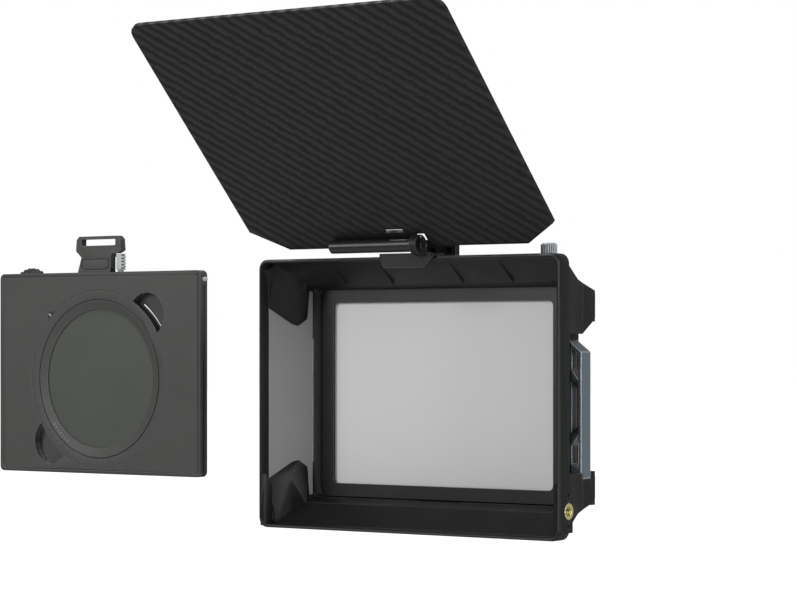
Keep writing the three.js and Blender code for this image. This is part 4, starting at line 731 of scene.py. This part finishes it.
# Each knob: which way its head faces, and its KNOB_SIZES in millimetres, with its number of ribs.
KNOBS = {
    "lock_knob": (OUT_UP, (4.3, 11.0, 2.0, 10.9, 0.6, 22, 0.45, 2.6)),
    "clamp_screw": (OUT_RIGHT, (4.4, 6.0, 2.4, 22.0, 0.5, 36, 0.25, 1.2)),
}
for name, (out, values) in KNOBS.items():
    set_in_place(KNOB, name, out, sizes_in_mm(KNOB_SIZES, values))
print("grew", len(KNOBS), "knurled knobs from", KNOB.name)

# %% [markdown]
# The thread inside a brass insert is a helix of small wire on the wall of its bore. The scale on the
# turning filter is a row of short lines on an arc, every third one longer, and nothing is written there.

# %% Trees for the threads and the scale lines
INSERT_THREAD = {"radius": 2.75 * MM, "wire": 0.3 * MM, "length": 2.6 * MM, "turns": 3.5}
HELIX_STEPS, WIRE_SIDES = 24, 8
RING_SCALE = {
    "radius": 43.2 * MM, "first angle": math.radians(218), "step": math.radians(3.1),
    "line length": 0.8 * MM, "line width": 0.25 * MM, "line height": 0.3 * MM, "line count": 7,
}
LONG_EVERY, LONG_STRETCH = 3.0, 1.6


def thread_tree():
    tree, sizes = size_tree("insert_thread", INSERT_THREAD)
    helix = add_node(tree, "GeometryNodeCurveSpiral", {}, {
        "Resolution": HELIX_STEPS, "Rotations": sizes["turns"], "Start Radius": sizes["radius"],
        "End Radius": sizes["radius"], "Height": sizes["length"]}).outputs[0]
    wire = add_node(tree, "GeometryNodeCurvePrimitiveCircle", {}, {"Resolution": WIRE_SIDES,
                                                                   "Radius": sizes["wire"]})
    tube = add_node(tree, "GeometryNodeCurveToMesh", {}, {"Curve": helix, "Profile Curve": wire.outputs[0],
                                                          "Fill Caps": True}).outputs[0]
    return close_tree(tree, tube)


def scale_tree():
    """Lines about the y axis: each point of a short row becomes a line at its own angle."""
    tree, sizes = size_tree("scale_lines", RING_SCALE)
    row = add_node(tree, "GeometryNodeMeshLine", {}, {"Count": sizes["line count"]}).outputs[0]
    number = add_node(tree, "GeometryNodeInputIndex").outputs[0]
    angle = calculate(tree, "ADD", sizes["first angle"], calculate(tree, "MULTIPLY", number, sizes["step"]))
    place = add_node(tree, "ShaderNodeCombineXYZ", {}, {
        "X": calculate(tree, "MULTIPLY", calculate(tree, "COSINE", angle), sizes["radius"]),
        "Z": calculate(tree, "MULTIPLY", calculate(tree, "SINE", angle), sizes["radius"])}).outputs[0]
    placed = add_node(tree, "GeometryNodeSetPosition", {}, {"Geometry": row, "Position": place}).outputs[0]
    size = add_node(tree, "ShaderNodeCombineXYZ", {}, {"X": sizes["line length"], "Y": sizes["line height"],
                                                       "Z": sizes["line width"]}).outputs[0]
    line = add_node(tree, "GeometryNodeMeshCube", {}, {"Size": size}).outputs[0]
    back = calculate(tree, "MULTIPLY", angle, -1.0)
    turn = add_node(tree, "ShaderNodeCombineXYZ", {}, {"Y": back}).outputs[0]
    stretch = spread(tree, calculate(tree, "MODULO", number, LONG_EVERY), LONG_STRETCH, 1.0, 0.0, 1.0)
    scale = add_node(tree, "ShaderNodeCombineXYZ", {}, {"X": stretch, "Y": 1.0, "Z": 1.0}).outputs[0]
    lines = add_node(tree, "GeometryNodeInstanceOnPoints", {}, {"Points": placed, "Instance": line,
                                                                "Rotation": turn, "Scale": scale}).outputs[0]
    return close_tree(tree, lines)


def add_piece(mesh, name, beside, slot):
    """A small extra piece that rides with the solid beside it."""
    piece = bpy.data.objects.new(name, mesh)
    bpy.context.scene.collection.objects.link(piece)
    dress(piece, FINISHES[slot])
    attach(piece, BODY_OF[beside])


print("thread pitch", round(INSERT_THREAD["length"] / INSERT_THREAD["turns"] / MM, 2), "mm")

# %% Set the threads in place
THREAD = thread_tree()
INSERTS = {"brass_insert_left": -OUT_RIGHT, "brass_insert_right": OUT_RIGHT}
for insert, out in INSERTS.items():
    low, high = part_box(insert)
    thread = grown_mesh(THREAD, insert + "_thread", INSERT_THREAD)
    thread.transform(upright_to(out, (low + high) / 2 - out * INSERT_THREAD["length"] / 2))
    add_piece(thread, insert + "_thread", insert, "brass")
print("cut", len(INSERTS), "threads from", THREAD.name)

# %% Set the scale in place
# The ring's face is a shallow cone: where the scale lies, it is this far behind its front edge.
CONE_SINK = 0.41 * MM
ring_low, ring_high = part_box("filter_ring")
ring_middle = (ring_low + ring_high) / 2
scale_mesh = grown_mesh(scale_tree(), "ring_scale", RING_SCALE)
scale_mesh.transform(Matrix.Translation((ring_middle.x, ring_low.y + CONE_SINK, ring_middle.z)))
add_piece(scale_mesh, "ring_scale", "filter_ring", "pale_nylon")
print("raised", RING_SCALE["line count"], "scale lines on the ring")

# %% [markdown]
# The photograph has no room about it: the box hangs in plain white. The floor lies far below and
# keeps the shadow, and the world is pure white only to the eye and through glass. What lights the
# object is a softer share of that white, with four large soft lamps for shape.

# %% World and floor
FLOOR_Z = -0.9
FLOOR_HALF = 40.0
FLOOR_TONE = (0.7, 0.7, 0.7, 1)
FLOOR_GLOW = 0.9
WHITE = (1, 1, 1, 1)
ROOM_LEVEL = 0.32


def white_where_seen(tree):
    path = add_node(tree, "ShaderNodeLightPath")
    return calculate(tree, "MAXIMUM", path.outputs["Is Camera Ray"], path.outputs["Is Transmission Ray"])


def make_world():
    world = bpy.data.worlds.new("plain_white_room")
    bpy.context.scene.world = world
    world.use_nodes = True
    tree = world.node_tree
    tree.nodes.clear()
    seen = white_where_seen(tree)
    strength = add_node(tree, "ShaderNodeMix", {"data_type": "FLOAT"},
                        {0: seen, 2: ROOM_LEVEL, 3: 1.0}).outputs[0]
    light = add_node(tree, "ShaderNodeBackground", {}, {"Color": WHITE, "Strength": strength})
    add_node(tree, "ShaderNodeOutputWorld", {}, {"Surface": light.outputs[0]})


def floor_paint():
    material = bpy.data.materials.new("pale_floor_paint")
    material.use_nodes = True
    tree = material.node_tree
    tree.nodes.clear()
    paint = add_node(tree, "ShaderNodeBsdfDiffuse", {}, {"Color": FLOOR_TONE}).outputs[0]
    glow = add_node(tree, "ShaderNodeEmission", {}, {"Color": WHITE, "Strength": FLOOR_GLOW}).outputs[0]
    both = add_node(tree, "ShaderNodeAddShader", {}, {0: paint, 1: glow}).outputs[0]
    shown = add_node(tree, "ShaderNodeMixShader", {}, {0: white_where_seen(tree), 1: paint, 2: both})
    add_node(tree, "ShaderNodeOutputMaterial", {}, {"Surface": shown.outputs[0]})
    return material


def make_floor():
    mesh = bpy.data.meshes.new("floor")
    corners = [(x * FLOOR_HALF, y * FLOOR_HALF, FLOOR_Z) for x, y in ((-1, -1), (1, -1), (1, 1), (-1, 1))]
    mesh.from_pydata(corners, [], [(0, 1, 2, 3)])
    mesh.materials.append(floor_paint())
    floor = bpy.data.objects.new("floor", mesh)
    bpy.context.scene.collection.objects.link(floor)


make_world()
make_floor()
print("world and floor ready, with the floor at", FLOOR_Z, "m")

# %% Lamps
LAMP_TARGET = Vector((0, -0.05, 0.02))
# Each lamp's place and width in metres, and its power in watts.
LAMPS = {
    "key_softbox": ((-1.2, -2.2, 0.85), 1.1, 30),
    "side_softbox": ((2.3, -0.5, 0.7), 1.2, 34),
    "top_softbox": ((0.3, -0.9, 2.3), 1.0, 17),
    "back_softbox": ((-1.4, 0.6, 2.1), 1.0, 18),
}


def make_lamp(name, place, width, power):
    data = bpy.data.lights.new(name, "AREA")
    data.shape = "DISK"
    data.size = width
    data.energy = power
    lamp = bpy.data.objects.new(name, data)
    bpy.context.scene.collection.objects.link(lamp)
    lamp.location = place
    lamp.rotation_euler = (LAMP_TARGET - Vector(place)).to_track_quat("-Z", "Y").to_euler()


for name, lamp in LAMPS.items():
    make_lamp(name, *lamp)
bpy.context.scene.view_settings.view_transform = "Standard"
print("lit by", len(LAMPS), "lamps")
